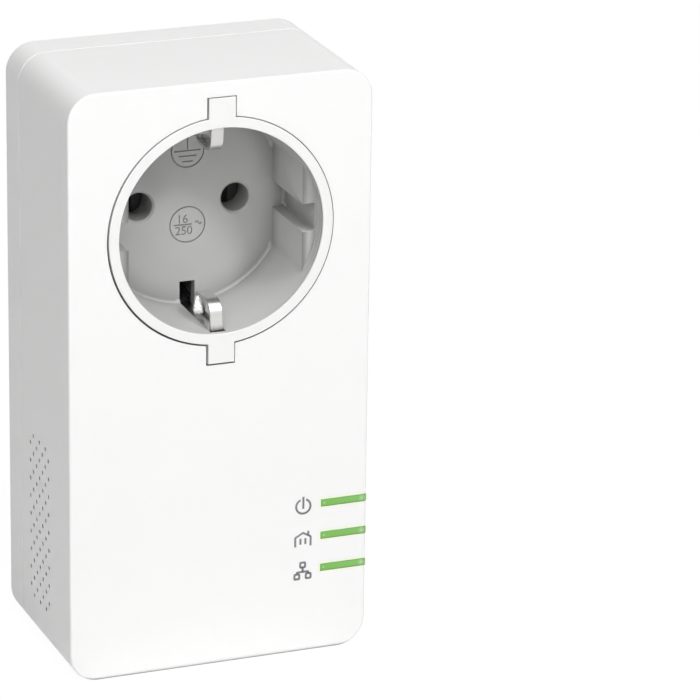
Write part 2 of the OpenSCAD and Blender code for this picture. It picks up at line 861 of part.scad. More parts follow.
module power_lead(x) {
    start_y = contact_end_y + lead_from_contact;
    behind_carrier_y = carrier_back_y + lead_gap + lead_r;
    board_y = (power_front_y + power_back_y) / 2;
    slant = atan2(abs(board_y - behind_carrier_y), -carrier_r - lead_r - power_top_z);
    end_z = power_top_z + max(run_gap, lead_r * sin(slant));
    wire([
        [x, start_y, -contact_stem_r - run_gap],
        [x, start_y, -lead_drop],
        [x, behind_carrier_y, -lead_drop],
        [x, behind_carrier_y, -carrier_r - lead_r],
        [x, board_y, end_z],
    ], lead_r);
}

module line_lead() {
    color("saddlebrown") power_lead(-pin_x);
}

module neutral_lead() {
    color("royalblue") power_lead(pin_x);
}

// Light bars

module light_bar(z) {
    half = bar_t / 2;
    color(light_green) {
        box_of([side_x - bar_len, side_x], [front_y, inside_front_y + bar_seat], [z - half, z + half]);
        box_of([inside_x - bar_seat, side_x], [front_y, front_y + bar_wrap], [z - half, z + half]);
        box_of([lamp_x - bar_stem_half_w, lamp_x + bar_stem_half_w],
            [inside_front_y, main_front_y - lamp_size.y - lamp_gap], [z - half, z + half]);
    }
}

module power_light_bar() {
    light_bar(bar_places[0]);
}

module link_light_bar() {
    light_bar(bar_places[1]);
}

module network_light_bar() {
    light_bar(bar_places[2]);
}

// Main board

module board(y, bottom, top, places) {
    color(board_green) difference() {
        box_of([-board_half_w, board_half_w], y, [bottom, top]);
        for (p = screw_places) rod_y(board_notch_r, [y[0] - past, y[1] + past], p.x, p.y);
        for (p = places) rod_y(board_screw_r + slip_gap, [y[0] - past, y[1] + past], p.x, p.y);
    }
}

module main_board() {
    board([main_front_y, main_back_y], main_bottom_z, main_top_z, main_screw_places);
}

// A component on the main board's front: its size, the place of its middle and its lift off the board
module on_main_front(size, x, z, lift = 0) {
    box_of([x - size.x / 2, x + size.x / 2], [main_front_y - lift - size.y, main_front_y - lift],
        [z - size.z / 2, z + size.z / 2]);
}

module status_leds() {
    color("white") for (z = bar_places) on_main_front(lamp_size, lamp_x, z);
}

processor_size = [13, 1.2, 13];
processor_x = -5;
processor_z = main_top_z - 25;

module processor() {
    color(chip_black) on_main_front(processor_size, processor_x, processor_z);
}

heat_sink_w = 18;
heat_sink_base = 1.5;
fin_count = 6;
fin_t = 1;
fin_h = 3.8;

module heat_sink() {
    color(metal) {
        on_main_front([heat_sink_w, heat_sink_base, heat_sink_w], processor_x, processor_z,
            processor_size.y);
        for (i = [0:fin_count - 1])
            on_main_front([fin_t, heat_sink_base + fin_h, heat_sink_w],
                processor_x - (heat_sink_w - fin_t) / 2 + i * (heat_sink_w - fin_t) / (fin_count - 1),
                processor_z, processor_size.y);
    }
}

memory_size = [9, 1, 6];
memory_x = 12;
memory_heights = [main_top_z - 11, main_top_z - 19];

module memory_chips() {
    color(chip_black) for (z = memory_heights) on_main_front(memory_size, memory_x, z);
}

crystal_size = [5, 1.2, 3];
crystal_x = -18;
crystal_z = main_top_z - 17;

module clock_crystal() {
    color(metal) on_main_front(crystal_size, crystal_x, crystal_z);
}

ethernet_transformer_size = [12.7, 5.9, 7];
ethernet_transformer_z = bottom_z + 18.1;

module ethernet_transformer() {
    color(chip_black) on_main_front(ethernet_transformer_size, 0, ethernet_transformer_z);
}

module ethernet_jack_shield() {
    half = jack_w / 2;
    color(metal) difference() {
        box_of([-half, half], [main_back_y, jack_back_y], [jack_mouth_z, jack_mouth_z + jack_len]);
        box_of([jack_sheet - half, half - jack_sheet], [main_back_y + jack_sheet, jack_back_y - jack_sheet],
            [jack_mouth_z - past, jack_mouth_z + jack_len - jack_sheet]);
    }
}

module ethernet_jack_housing() {
    gap = jack_sheet + run_gap;
    half = jack_w / 2 - gap;
    mouth = [jack_mouth_z - past, jack_mouth_z + jack_hollow_len];
    hollow_y = main_back_y + jack_hollow_y;
    latch_y = hollow_y + jack_hollow_d;
    color(chip_black) difference() {
        box_of([-half, half], [main_back_y + gap, jack_back_y - gap],
            [jack_mouth_z + run_gap, jack_mouth_z + jack_len - gap]);
        box_of([-jack_hollow_w / 2, jack_hollow_w / 2], [hollow_y, latch_y], mouth);
        box_of([-latch_w / 2, latch_w / 2], [latch_y - past, latch_y + latch_d], mouth);
        box_of([-latch_tip_w / 2, latch_tip_w / 2], [latch_y, latch_y + latch_d + latch_tip_d], mouth);
    }
}

module ethernet_jack_contacts() {
    foot_y = main_back_y + jack_hollow_y + run_gap;
    color(brass) for (i = [0:jack_contacts - 1])
        translate([(i - (jack_contacts - 1) / 2) * jack_contact_pitch, foot_y,
            jack_mouth_z + jack_contact_start])
            rotate([-jack_contact_tilt, 0, 0])
            box_of([-jack_contact_w / 2, jack_contact_w / 2], [0, jack_contact_t], [0, jack_contact_len]);
}

module pair_button() {
    color(case_white) {
        rod_z(button_r, [button_face_z, button_flange_z + bite], button_x, button_y);
        rod_z(button_flange_r, [button_flange_z, button_flange_z + button_flange_t],
            button_x, button_y);
        rod_z(button_stem_r, [button_flange_z, plunger_z], button_x, button_y);
    }
}

module pair_switch() {
    color(chip_black) difference() {
        box_of([button_x - switch_half_w, button_x + switch_half_w],
            [main_back_y, main_back_y + switch_d], [switch_z, switch_z + switch_len]);
        rod_z(plunger_r + slip_gap,
            [switch_z - past, plunger_z + plunger_len + button_travel + plunger_gap], button_x, button_y);
    }
}

module pair_switch_plunger() {
    color(dark_grey) rod_z(plunger_r, [plunger_z, plunger_z + plunger_len], button_x, button_y);
}

connector_half_w = 6.5;
connector_h = 2.5;
connector_top_z = power_top_z - 2.25;

module board_connector() {
    color(chip_black) box_of([-connector_half_w, connector_half_w], [main_back_y, power_front_y],
        [connector_top_z - connector_h, connector_top_z]);
}

// Screws of both boards, main board first
module board_screws() {
    color(metal) {
        for (p = main_screw_places) {
            rod_y(board_screw_r, [main_back_y - board_screw_len, main_back_y + bite], p.x, p.y);
            rod_y(board_head_r, [main_back_y, main_back_y + board_head_t], p.x, p.y);
        }
        for (p = power_screw_places) {
            rod_y(board_screw_r, [power_front_y - bite, power_front_y + board_screw_len], p.x, p.y);
            rod_y(board_head_r, [power_front_y - board_head_t, power_front_y], p.x, p.y);
        }
    }
}

// Power board

module power_board() {
    board([power_front_y, power_back_y], power_bottom_z, power_top_z, power_screw_places);
}

// A component on the power board's front: its size, the place of its middle and its lift off the board
module on_power_front(size, x, z, lift = 0) {
    box_of([x - size.x / 2, x + size.x / 2], [power_front_y - lift - size.y, power_front_y - lift],
        [z - size.z / 2, z + size.z / 2]);
}

transformer_x = -13;
transformer_z = power_top_z - 16;
bobbin_base_t = 2;
core_size = [16, 12, 5];
core_window = [10.8, 8];
core_leg_r = 2.4;
winding_size = [10.4, 7.8, 12.6];
core_yoke = (core_size.y - core_window.y) / 2;

module transformer_core() {
    color(chip_black) {
        difference() {
            on_power_front(core_size, transformer_x, transformer_z, bobbin_base_t);
            on_power_front([core_window.x, core_window.y, core_size.z + past], transformer_x,
                transformer_z, bobbin_base_t + core_yoke);
        }
        rod_y(core_leg_r, [power_front_y - bobbin_base_t - core_size.y + bite,
            power_front_y - bobbin_base_t - bite], transformer_x, transformer_z);
    }
}

module transformer_bobbin() {
    lift = bobbin_base_t + core_yoke + (core_window.y - winding_size.y) / 2;
    color("khaki") {
        on_power_front([core_size.x, bobbin_base_t, winding_size.z], transformer_x, transformer_z);
        difference() {
            on_power_front(winding_size, transformer_x, transformer_z, lift);
            rod_y(core_leg_r + slip_gap, [power_front_y - far, power_front_y], transformer_x,
                transformer_z);
        }
    }
}

bulk_capacitor_r = 4;
bulk_capacitor_h = 14;
bulk_capacitor_x = 3.5;
bulk_capacitor_heights = [power_top_z - 10, power_top_z - 20];

module bulk_capacitors() {
    color("navy") for (z = bulk_capacitor_heights)
        rod_y(bulk_capacitor_r, [power_front_y - bulk_capacitor_h, power_front_y], bulk_capacitor_x, z);
}

output_capacitor_r = 3.15;
output_capacitor_h = 11;
output_capacitor_x = 14;
output_capacitor_z = power_top_z - 10;

module output_capacitor() {
    color("navy") rod_y(output_capacitor_r, [power_front_y - output_capacitor_h, power_front_y],
        output_capacitor_x, output_capacitor_z);
}

filter_capacitor_size = [13, 12, 6];
filter_capacitor_x = -15;
filter_capacitor_z = power_top_z - 32;

module filter_capacitor() {
    color("gold") on_power_front(filter_capacitor_size, filter_capacitor_x, filter_capacitor_z);
}

choke_x = 13.5;
choke_z = bottom_z + 23.1;
choke_ring_r = 3.8;
choke_wire_r = 1.8;
choke_base = [10, 1.5, 10];
choke_sink = 0.2;

module line_choke() {
    color("darkgreen") {
        on_power_front(choke_base, choke_x, choke_z);
        translate([choke_x, power_front_y - choke_base.y - choke_wire_r + choke_sink, choke_z])
            rotate([90, 0, 0]) rotate_extrude() translate([choke_ring_r, 0]) circle(choke_wire_r);
    }
}

fuse_r = 1.8;
fuse_ends = [-20, -10];
fuse_z = power_top_z - 26;

module fuse() {
    color("beige") rod_x(fuse_r, fuse_ends, power_front_y - fuse_r - run_gap, fuse_z);
}

varistor_r = 4.5;
varistor_t = 3.5;
varistor_x = -14;
varistor_z = bottom_z + 10.6;

module varistor() {
    color("steelblue") rod_z(varistor_r, [varistor_z - varistor_t / 2, varistor_z + varistor_t / 2],
        varistor_x, power_front_y - varistor_r - run_gap);
}

bridge_size = [9, 2.6, 7];
bridge_x = 2;
bridge_z = power_top_z - 30;

module bridge_rectifier() {
    color(chip_black) on_power_front(bridge_size, bridge_x, bridge_z);
}

optocoupler_size = [6.5, 3.5, 4.6];
optocoupler_x = 14;
optocoupler_z = power_top_z - 20;

module optocoupler() {
    color(chip_black) on_power_front(optocoupler_size, optocoupler_x, optocoupler_z);
}

coupling_size = [8, 8, 8];
coupling_x = 14;
coupling_z = bottom_z + 11.1;

module coupling_transformer() {
    color("gray") on_power_front(coupling_size, coupling_x, coupling_z);
}

front_cover();
rear_cover();
case_screws();
socket_collar();
socket_cup();
safety_shutter();
shutter_spring();
contact_carrier();
carrier_screws();
line_contact();
neutral_contact();
socket_earth_strap();
plug_body();
line_pin();
neutral_pin();
plug_earth_strap();
line_lead();
neutral_lead();
power_light_bar();
link_light_bar();
network_light_bar();
status_leds();
main_board();
processor();
heat_sink();
memory_chips();
clock_crystal();
ethernet_transformer();
ethernet_jack_shield();
ethernet_jack_housing();
ethernet_jack_contacts();
pair_button();
pair_switch();
pair_switch_plunger();
board_connector();
board_screws();
power_board();
transformer_core();
transformer_bobbin();
bulk_capacitors();
output_capacitor();
filter_capacitor();
line_choke();
fuse();
varistor();
bridge_rectifier();
optocoupler();
coupling_transformer();
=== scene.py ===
import math

import bmesh
import bpy
from bpy.props import FloatProperty, FloatVectorProperty, PointerProperty
from mathutils import Matrix, Vector


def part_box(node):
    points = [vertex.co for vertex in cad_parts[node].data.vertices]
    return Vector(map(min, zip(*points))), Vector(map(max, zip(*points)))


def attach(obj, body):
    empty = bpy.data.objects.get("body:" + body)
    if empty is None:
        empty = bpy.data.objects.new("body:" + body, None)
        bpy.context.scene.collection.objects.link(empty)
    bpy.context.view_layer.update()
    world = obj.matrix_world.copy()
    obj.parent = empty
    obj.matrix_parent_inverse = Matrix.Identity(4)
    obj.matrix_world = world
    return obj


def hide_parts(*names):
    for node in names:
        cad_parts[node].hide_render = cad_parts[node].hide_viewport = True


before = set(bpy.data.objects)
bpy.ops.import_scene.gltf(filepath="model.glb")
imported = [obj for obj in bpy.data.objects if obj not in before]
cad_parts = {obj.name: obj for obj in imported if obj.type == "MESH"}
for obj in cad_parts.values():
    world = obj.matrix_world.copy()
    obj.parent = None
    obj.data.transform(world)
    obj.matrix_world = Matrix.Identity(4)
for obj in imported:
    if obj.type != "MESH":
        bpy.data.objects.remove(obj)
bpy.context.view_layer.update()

bl_info = {
    "name": "Powerline adapter",
    "version": (1, 0, 0),
    "blender": (4, 5, 0),
    "location": "3D View > Sidebar > Adapter",
    "description": "Builds the finished surfaces of a mains plug-in network adapter",
    "category": "Object",
}

MM = 0.001
FRONT_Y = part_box("front_cover")[0].y
COLLAR_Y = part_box("socket_collar")[0].y
SEAM_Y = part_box("front_cover")[1].y
BACK_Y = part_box("rear_cover")[1].y
CASE_LOW, CASE_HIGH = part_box("front_cover")
CASE_CORNER = 5.5 * MM
BAR_NODES = ("power_light_bar", "link_light_bar", "network_light_bar")
# Points closer than WELD are one point, and faces that turn by less than FLAT are one face
WELD = 0.5e-6
FLAT = math.radians(0.2)
# How near a point lies to a face that it is on
TOUCH = 0.01 * MM
# Softboxes round the case: name, degrees from the front towards the right, degrees up, width, share
LAMPS = (
    ("top_box", 0.0, 68.0, 0.55, 0.37),
    ("left_box", -30.0, 35.0, 0.7, 0.41),
    ("right_box", 25.0, 42.0, 0.2, 0.38),
    ("high_left_box", -60.0, 68.0, 0.55, 0.12),
    ("back_box", 170.0, 8.0, 0.6, 0.35),
)


# Settings

LENGTH = {"subtype": "DISTANCE", "unit": "LENGTH", "precision": 5}
ANGLE = {"subtype": "ANGLE", "unit": "ROTATION"}
COLOUR = {"subtype": "COLOR", "size": 3, "min": 0.0, "max": 1.0}
FACTOR = {"subtype": "FACTOR", "min": 0.0, "max": 1.0}


class CaseSettings(bpy.types.PropertyGroup):
    """Sizes and colours of the white case"""

    edge: FloatProperty(
        name="Edge radius", description="Rounding of the case's outer edges",
        default=0.45 * MM, min=0.0, **LENGTH)
    rim: FloatProperty(
        name="Rim radius", description="Rounding of the openings and of the seam",
        default=0.1 * MM, min=0.0, **LENGTH)
    collar_shift: FloatProperty(
        name="Collar shift", description="How far the collar lies towards the upper right in its seat",
        default=0.08 * MM, min=0.0, max=0.1 * MM, **LENGTH)
    white: FloatVectorProperty(
        name="White", description="Colour of the case's plastic",
        default=(0.9, 0.9, 0.895), **COLOUR)
    grain: FloatProperty(
        name="Grain", description="Size of the moulded surface's fine grain",
        default=0.16 * MM, min=0.01 * MM, **LENGTH)


class SocketSettings(bpy.types.PropertyGroup):
    """Sizes and colours of the socket's recess"""

    grey: FloatVectorProperty(
        name="Grey", description="Colour of the recess moulding",
        default=(0.555, 0.555, 0.55), **COLOUR)
    depth: FloatProperty(
        name="Depth", description="Depth of the recess from the collar's face",
        default=18.5 * MM, min=0.0, **LENGTH)
    edge: FloatProperty(
        name="Edge radius", description="Rounding of the guide blocks and the holes",
        default=0.12 * MM, min=0.0, **LENGTH)
    # painted shade in the recess: how wide the darkened nooks are and how bright the darkest stays
    nook_reach: FloatProperty(
        name="Nook reach", description="Width of the nooks that look darker",
        default=5.0 * MM, min=0.1 * MM, **LENGTH)
    nook_tone: FloatProperty(
        name="Nook tone", description="How bright the narrowest nooks stay",
        default=0.5, **FACTOR)
    mark_width: FloatProperty(
        name="Mark width", description="Width of the engraved lines",
        default=0.26 * MM, min=0.05 * MM, **LENGTH)
    mark_depth: FloatProperty(
        name="Mark depth", description="Depth of the engraved lines",
        default=0.22 * MM, min=0.02 * MM, **LENGTH)
    rating_z: FloatProperty(
        name="Rating height", description="Height of the rating mark's middle",
        default=-4.25 * MM, **LENGTH)
    rating_r: FloatProperty(
        name="Rating radius", description="Radius of the ring round the rating mark",
        default=3.43 * MM, **LENGTH)
    earth_z: FloatProperty(
        name="Earth height", description="Height of the earth mark's middle",
        default=10.04 * MM, **LENGTH)
    earth_r: FloatProperty(
        name="Earth radius", description="Radius of the ring round the earth mark",
        default=3.16 * MM, **LENGTH)


class PrintSettings(bpy.types.PropertyGroup):
    """Sizes and colour of the printed symbols"""

    ink: FloatVectorProperty(
        name="Ink", description="Colour of the printed symbols",
        default=(0.21, 0.21, 0.215), **COLOUR)
    line: FloatProperty(
        name="Line", description="Width of the symbols' lines",
        default=0.39 * MM, min=0.1 * MM, **LENGTH)
    layer: FloatProperty(
        name="Layer", description="Thickness of the ink",
        default=0.02 * MM, min=0.005 * MM, **LENGTH)
    middle_x: FloatProperty(
        name="Middle", description="Distance of the symbols from the middle of the case",
        default=16.6 * MM, **LENGTH)
    size: FloatProperty(
        name="Size", description="Width of a symbol",
        default=3.2 * MM, **LENGTH)


class LightSettings(bpy.types.PropertyGroup):
    """Colours of the light bars"""

    green: FloatVectorProperty(
        name="Green", description="Colour of the lit bars",
        default=(0.16, 0.44, 0.065), **COLOUR)
    glow: FloatProperty(
        name="Glow", description="Strength of the bars' own light", default=0.18, min=0.0)
    halo: FloatProperty(
        name="Halo", description="Reach of the light in the plastic round a bar",
        default=0.65 * MM, min=0.0, **LENGTH)


class StageSettings(bpy.types.PropertyGroup):
    """Lamps, floor and camera"""

    ambient: FloatProperty(
        name="Ambient", description="Strength of the light from all round", default=0.02, min=0.0)
    light: FloatProperty(
        name="Light", description="Level of all the lamps together", default=0.95, min=0.0)
    lamp_distance: FloatProperty(
        name="Lamp distance", description="How far the lamps are from the case's middle",
        default=1.1, min=0.3, **LENGTH)
    shadow: FloatProperty(
        name="Shadow", description="Share of the floor's shadow that shows",
        default=0.08, **FACTOR)
    camera_place: FloatVectorProperty(
        name="Camera place", description="Where the camera stands",
        default=(-0.2776, -0.80824, 0.26706), size=3, subtype="XYZ", unit="LENGTH")
    azimuth: FloatProperty(
        name="Azimuth", description="Turn of the view to the right",
        default=math.radians(21.901), **ANGLE)
    tilt: FloatProperty(
        name="Tilt", description="Downward tilt of the view",
        default=math.radians(19.818), **ANGLE)
    roll: FloatProperty(
        name="Roll", description="Roll of the camera",
        default=math.radians(0.893), **ANGLE)
    lens: FloatProperty(
        name="Lens", description="Focal length on a 36 mm wide sensor, in millimetres", default=239.97)


# Mesh helpers

def new_object(name, data):
    piece = bpy.data.objects.new(name, data)
    bpy.context.scene.collection.objects.link(piece)
    return piece


def mesh_object(name, bm):
    mesh = bpy.data.meshes.new(name)
    bm.to_mesh(mesh)
    bm.free()
    return new_object(name, mesh)


def node_mesh(node):
    """A construction node's mesh, welded"""
    bm = bmesh.new()
    bm.from_mesh(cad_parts[node].data)
    bmesh.ops.remove_doubles(bm, verts=bm.verts, dist=WELD)
    return bm


def baked(piece):
    """Turns a piece and its modifiers into a plain mesh of the same name"""
    graph = bpy.context.evaluated_depsgraph_get()
    graph.update()
    mesh = bpy.data.meshes.new_from_object(
        piece.evaluated_get(graph), preserve_all_data_layers=True, depsgraph=graph)
    mesh.name = piece.name
    if piece.type != "MESH":
        name = piece.name
        bpy.data.objects.remove(piece)
        return new_object(name, mesh)
    piece.modifiers.clear()
    piece.data = mesh
    return piece


def merged_copy(node, name):
    """A welded copy of a construction node, with its flat areas joined"""
    bm = node_mesh(node)
    bmesh.ops.dissolve_limit(bm, angle_limit=FLAT, verts=bm.verts, edges=bm.edges, delimit={"NORMAL"})
    return mesh_object(name, bm)


def round_edges(piece, width_at, widest, segments=3, sharp=30):
    """Rounds the sharp edges, each by the width that width_at gives for its two ends"""
    bm = bmesh.new()
    bm.from_mesh(piece.data)
    weight = bm.edges.layers.float.get("bevel_weight_edge") \
        or bm.edges.layers.float.new("bevel_weight_edge")
    for edge in bm.edges:
        if len(edge.link_faces) == 2 and edge.calc_face_angle() >= math.radians(sharp):
            edge[weight] = width_at(edge.verts[0].co, edge.verts[1].co) / widest
    bm.to_mesh(piece.data)
    bm.free()
    bevel = piece.modifiers.new("rounding", "BEVEL")
    bevel.limit_method = "WEIGHT"
    bevel.width = widest
    bevel.segments = segments
    bevel.use_clamp_overlap = False
    bevel.miter_outer = "MITER_ARC"
    baked(piece)


def smooth(piece, angle=35):
    """Smooth shading with sharp edges kept, and the normals drawn towards the larger faces"""
    piece.data.polygons.foreach_set("use_smooth", [True] * len(piece.data.polygons))
    piece.data.set_sharp_from_angle(angle=math.radians(angle))
    weighted = piece.modifiers.new("even normals", "WEIGHTED_NORMAL")
    weighted.keep_sharp = True
    weighted.weight = 80
    baked(piece)


def paint(data, material):
    data.materials.clear()
    data.materials.append(material)


def place(piece, body, material, slot, *nodes):
    """Gives a finished piece its material and its body, and hides the nodes it stands for"""
    paint(piece.data, material)
    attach(piece, body)
    if nodes:
        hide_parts(*nodes)


def dress(material, *nodes):
    """Gives construction nodes a material"""
    for node in nodes:
        paint(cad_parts[node].data, material)


# Node tree helpers

def feed(tree, node, inputs):
    """Gives a node's inputs their values, or links from other nodes' outputs"""
    for key, value in inputs.items():
        if isinstance(value, bpy.types.NodeSocket):
            tree.links.new(value, node.inputs[key])
        else:
            node.inputs[key].default_value = value


def add(tree, kind, inputs=None, **settings):
    """A new node with its settings and its inputs"""
    node = tree.nodes.new(kind)
    for name, value in settings.items():
        setattr(node, name, value)
    feed(tree, node, inputs or {})
    return node


def new_material(name):
    material = bpy.data.materials.new(name)
    material.use_nodes = True
    return material, material.node_tree


def object_place(tree, scale):
    """Object coordinates, scaled per metre"""
    point = add(tree, "ShaderNodeTexCoord").outputs["Object"]
    scale = scale if hasattr(scale, "__len__") else (scale,) * 3
    return add(tree, "ShaderNodeMapping", {"Vector": point, "Scale": scale}).outputs["Vector"]


def noise(tree, scale, detail=2.0, roughness=0.5):
    return add(tree, "ShaderNodeTexNoise", {
        "Vector": object_place(tree, scale), "Scale": 1.0, "Detail": detail, "Roughness": roughness,
    }).outputs["Fac"]


def mapped(tree, value, low, high, from_low=0.0, from_high=1.0):
    """A value brought from one range into another"""
    return add(tree, "ShaderNodeMapRange", {
        "Value": value, "From Min": from_low, "From Max": from_high, "To Min": low, "To Max": high,
    }).outputs["Result"]


def colour_mix(tree, factor, first, second):
    first, second = (value if isinstance(value, bpy.types.NodeSocket) else (*value, 1.0)
                     for value in (first, second))
    return add(tree, "ShaderNodeMix", {0: factor, 6: first, 7: second}, data_type="RGBA").outputs[2]


def maths(tree, operation, *values):
    return add(tree, "ShaderNodeMath", dict(enumerate(values)), operation=operation).outputs[0]


def vector_maths(tree, operation, *values):
    node = add(tree, "ShaderNodeVectorMath", dict(enumerate(values)), operation=operation)
    return node.outputs["Value" if operation == "LENGTH" else "Vector"]


def dot_mask(tree, along, across, x, radius, blur):
    """1 within a radius of the spot at x on the middle line, 0 outside it"""
    offset = add(tree, "ShaderNodeCombineXYZ", {"X": maths(tree, "ADD", along, -x), "Y": across})
    distance = vector_maths(tree, "LENGTH", offset.outputs[0])
    return mapped(tree, distance, 1.0, 0.0, radius - blur / 2, radius + blur / 2)


def crevices(tree, colour, reach, darkest):
    """Painted shade: the colour darkened where other surfaces are closer than the reach"""
    nook = add(tree, "ShaderNodeAmbientOcclusion", {"Distance": reach}, samples=8)
    dark = colour_mix(tree, 1.0 - darkest, colour, (0.0, 0.0, 0.0))
    return colour_mix(tree, mapped(tree, nook.outputs["AO"], 0.0, 1.0, 0.25, 0.95), dark, colour)


def coat(tree, colour, gloss, roughness, height, depth, **constants):
    """Gives a material's shader its colour, its gloss between two roughnesses and its bumps"""
    bump = add(tree, "ShaderNodeBump", {"Strength": 1.0, "Distance": depth, "Height": height})
    feed(tree, tree.nodes["Principled BSDF"], {
        "Base Color": colour, "Roughness": mapped(tree, gloss, *roughness),
        "Normal": bump.outputs["Normal"],
        **{name.replace("_", " "): value for name, value in constants.items()}})


def recoloured(material, change):
    """Puts a change between a material's colour and its shader"""
    tree = material.node_tree
    base = tree.nodes["Principled BSDF"].inputs["Base Color"]
    tree.links.new(change(tree, base.links[0].from_socket), base)
    return material


def dimmed(colour, share, added=0.0):
    return tuple(share * c + added for c in colour)


def new_tree(name, **sockets):
    """A geometry node tree with named inputs, and the outputs of its first node"""
    tree = bpy.data.node_groups.new(name, "GeometryNodeTree")
    tree.interface.new_socket("Geometry", in_out="INPUT", socket_type="NodeSocketGeometry")
    for title, (kind, default) in sockets.items():
        socket = tree.interface.new_socket(
            title.replace("_", " "), in_out="INPUT", socket_type="NodeSocket" + kind)
        if default is not None:
            socket.default_value = default
    tree.interface.new_socket("Geometry", in_out="OUTPUT", socket_type="NodeSocketGeometry")
    return tree, add(tree, "NodeGroupInput").outputs


def ended(tree, given, shape):
    """Ends a tree: its instances are made real and get the material"""
    real = add(tree, "GeometryNodeRealizeInstances", {"Geometry": shape})
    painted = add(tree, "GeometryNodeSetMaterial", {
        "Geometry": real.outputs["Geometry"], "Material": given["Material"]})
    add(tree, "NodeGroupOutput", {"Geometry": painted.outputs["Geometry"]})
    return tree


def add_tree(piece, tree, **values):
    """Adds a tree to a piece, with its inputs set by their identifiers"""
    modifier = piece.modifiers.new(tree.name, "NODES")
    modifier.node_group = tree
    names = {item.name: item.identifier for item in tree.interface.items_tree
             if item.item_type == "SOCKET" and item.in_out == "INPUT"}
    for title, value in values.items():
        modifier[names[title.replace("_", " ")]] = value


def stroke_tree():
    """Lines drawn on a flat face: a bar of a given width and height along each curve"""
    tree, given = new_tree(
        "drawn_lines", Width=("Float", 0.3 * MM), Height=("Float", 0.1 * MM),
        Corner=("Float", 0.1 * MM), Material=("Material", None))
    fillet = add(tree, "GeometryNodeFilletCurve", {
        "Curve": given["Geometry"], "Radius": given["Corner"], "Count": 5, "Limit Radius": True,
    }, mode="POLY")
    facing = add(tree, "GeometryNodeSetCurveNormal", {
        "Curve": fillet.outputs["Curve"], "Normal": (0.0, -1.0, 0.0)}, mode="FREE")
    profile = add(tree, "GeometryNodeCurvePrimitiveQuadrilateral", {
        "Width": given["Height"], "Height": given["Width"]})
    sweep = add(tree, "GeometryNodeCurveToMesh", {
        "Curve": facing.outputs["Curve"], "Profile Curve": profile.outputs["Curve"], "Fill Caps": True})
    return ended(tree, given, sweep.outputs["Mesh"])


def arc(cx, cz, r, start, end, steps):
    """Points of an arc, in degrees from the right, counted upwards"""
    angles = [math.radians(start + (end - start) * i / steps) for i in range(steps + 1)]
    return [(cx + r * math.cos(angle), cz + r * math.sin(angle)) for angle in angles]


def drawn(name, y, lines, width, height, corner, material):
    """Lines in the plane at depth y as a plain mesh; a line is (closed, points)"""
    curve = bpy.data.curves.new(name, "CURVE")
    curve.dimensions = "3D"
    for closed, points in lines:
        spline = curve.splines.new("POLY")
        spline.points.add(len(points) - 1)
        for target, (x, z) in zip(spline.points, points):
            target.co = (x, y, z, 1.0)
        spline.use_cyclic_u = closed
    piece = new_object(name, curve)
    add_tree(piece, stroke_tree(), Width=width, Height=height, Corner=corner, Material=material)
    return baked(piece)


# Finishes

def moulded(name, colour, roughness, grain, depth, mottle, specular=0.5):
    """Moulded plastic with a fine spark grain and a faint unevenness of colour and gloss"""
    material, tree = new_material(name)
    fine = noise(tree, 1 / grain, 2.0, 0.6)
    tone = colour_mix(tree, noise(tree, 60.0, 3.0, 0.5), dimmed(colour, 1 - mottle), colour)
    coat(tree, tone, fine, (roughness - 0.06, roughness + 0.06), fine, depth, Specular_IOR_Level=specular)
    return material


def metal(name, colour, roughness, brush, depth=0.003 * MM, nooks=0.0):
    """Plated or rolled metal with a fine drawn grain, with painted shade in nooks closer than a given reach
    """
    material, tree = new_material(name)
    lines = noise(tree, brush, 3.0, 0.6)
    tone = colour_mix(tree, noise(tree, 300.0, 3.0, 0.6), dimmed(colour, 0.88), colour)
    # painted shade: the colour darkened in nooks closer than the reach
    if nooks:
        tone = crevices(tree, tone, nooks, 0.2)
    coat(tree, tone, lines, (roughness - 0.06, roughness + 0.08), lines, depth, Metallic=1.0)
    return material


def case_plastic(name):
    case = bpy.context.scene.adapter_case
    return moulded(name, case.white, 0.5, case.grain, 0.003 * MM, 0.012)


def cover_plastic():
    """The case's white, with painted green light close round the light bars and painted shade in its
    openings
    """
    reach = bpy.context.scene.adapter_light.halo

    def lit(tree, tone):
        point = add(tree, "ShaderNodeTexCoord").outputs["Object"]
        # painted green light: the case's colour turns green near each bar
        halo = 0.0
        for node in BAR_NODES:
            low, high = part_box(node)
            half = (high - low) / 2
            offset = vector_maths(tree, "SUBTRACT", point, (low + high) / 2)
            offset = vector_maths(tree, "ABSOLUTE", offset)
            outside = vector_maths(tree, "SUBTRACT", offset, (half.x, half.y * 4, half.z))
            outside = vector_maths(tree, "MAXIMUM", outside, (0.0, 0.0, 0.0))
            near = mapped(tree, vector_maths(tree, "LENGTH", outside), 1.0, 0.0, 0.0, reach)
            halo = maths(tree, "MAXIMUM", halo, near)
        glow = (0.8, 0.93, 0.6)
        # painted shade in the openings, laid over the painted green light
        return crevices(tree, colour_mix(tree, halo, tone, glow), 1.0 * MM, 0.2)
    return recoloured(case_plastic("cover_plastic"), lit)


def cup_plastic():
    settings = bpy.context.scene.adapter_socket
    # the recess's grey with painted shade in its nooks
    return recoloured(
        moulded("cup_plastic", settings.grey, 0.42, 0.2 * MM, 0.004 * MM, 0.03),
        lambda tree, tone: crevices(tree, tone, settings.nook_reach, settings.nook_tone))


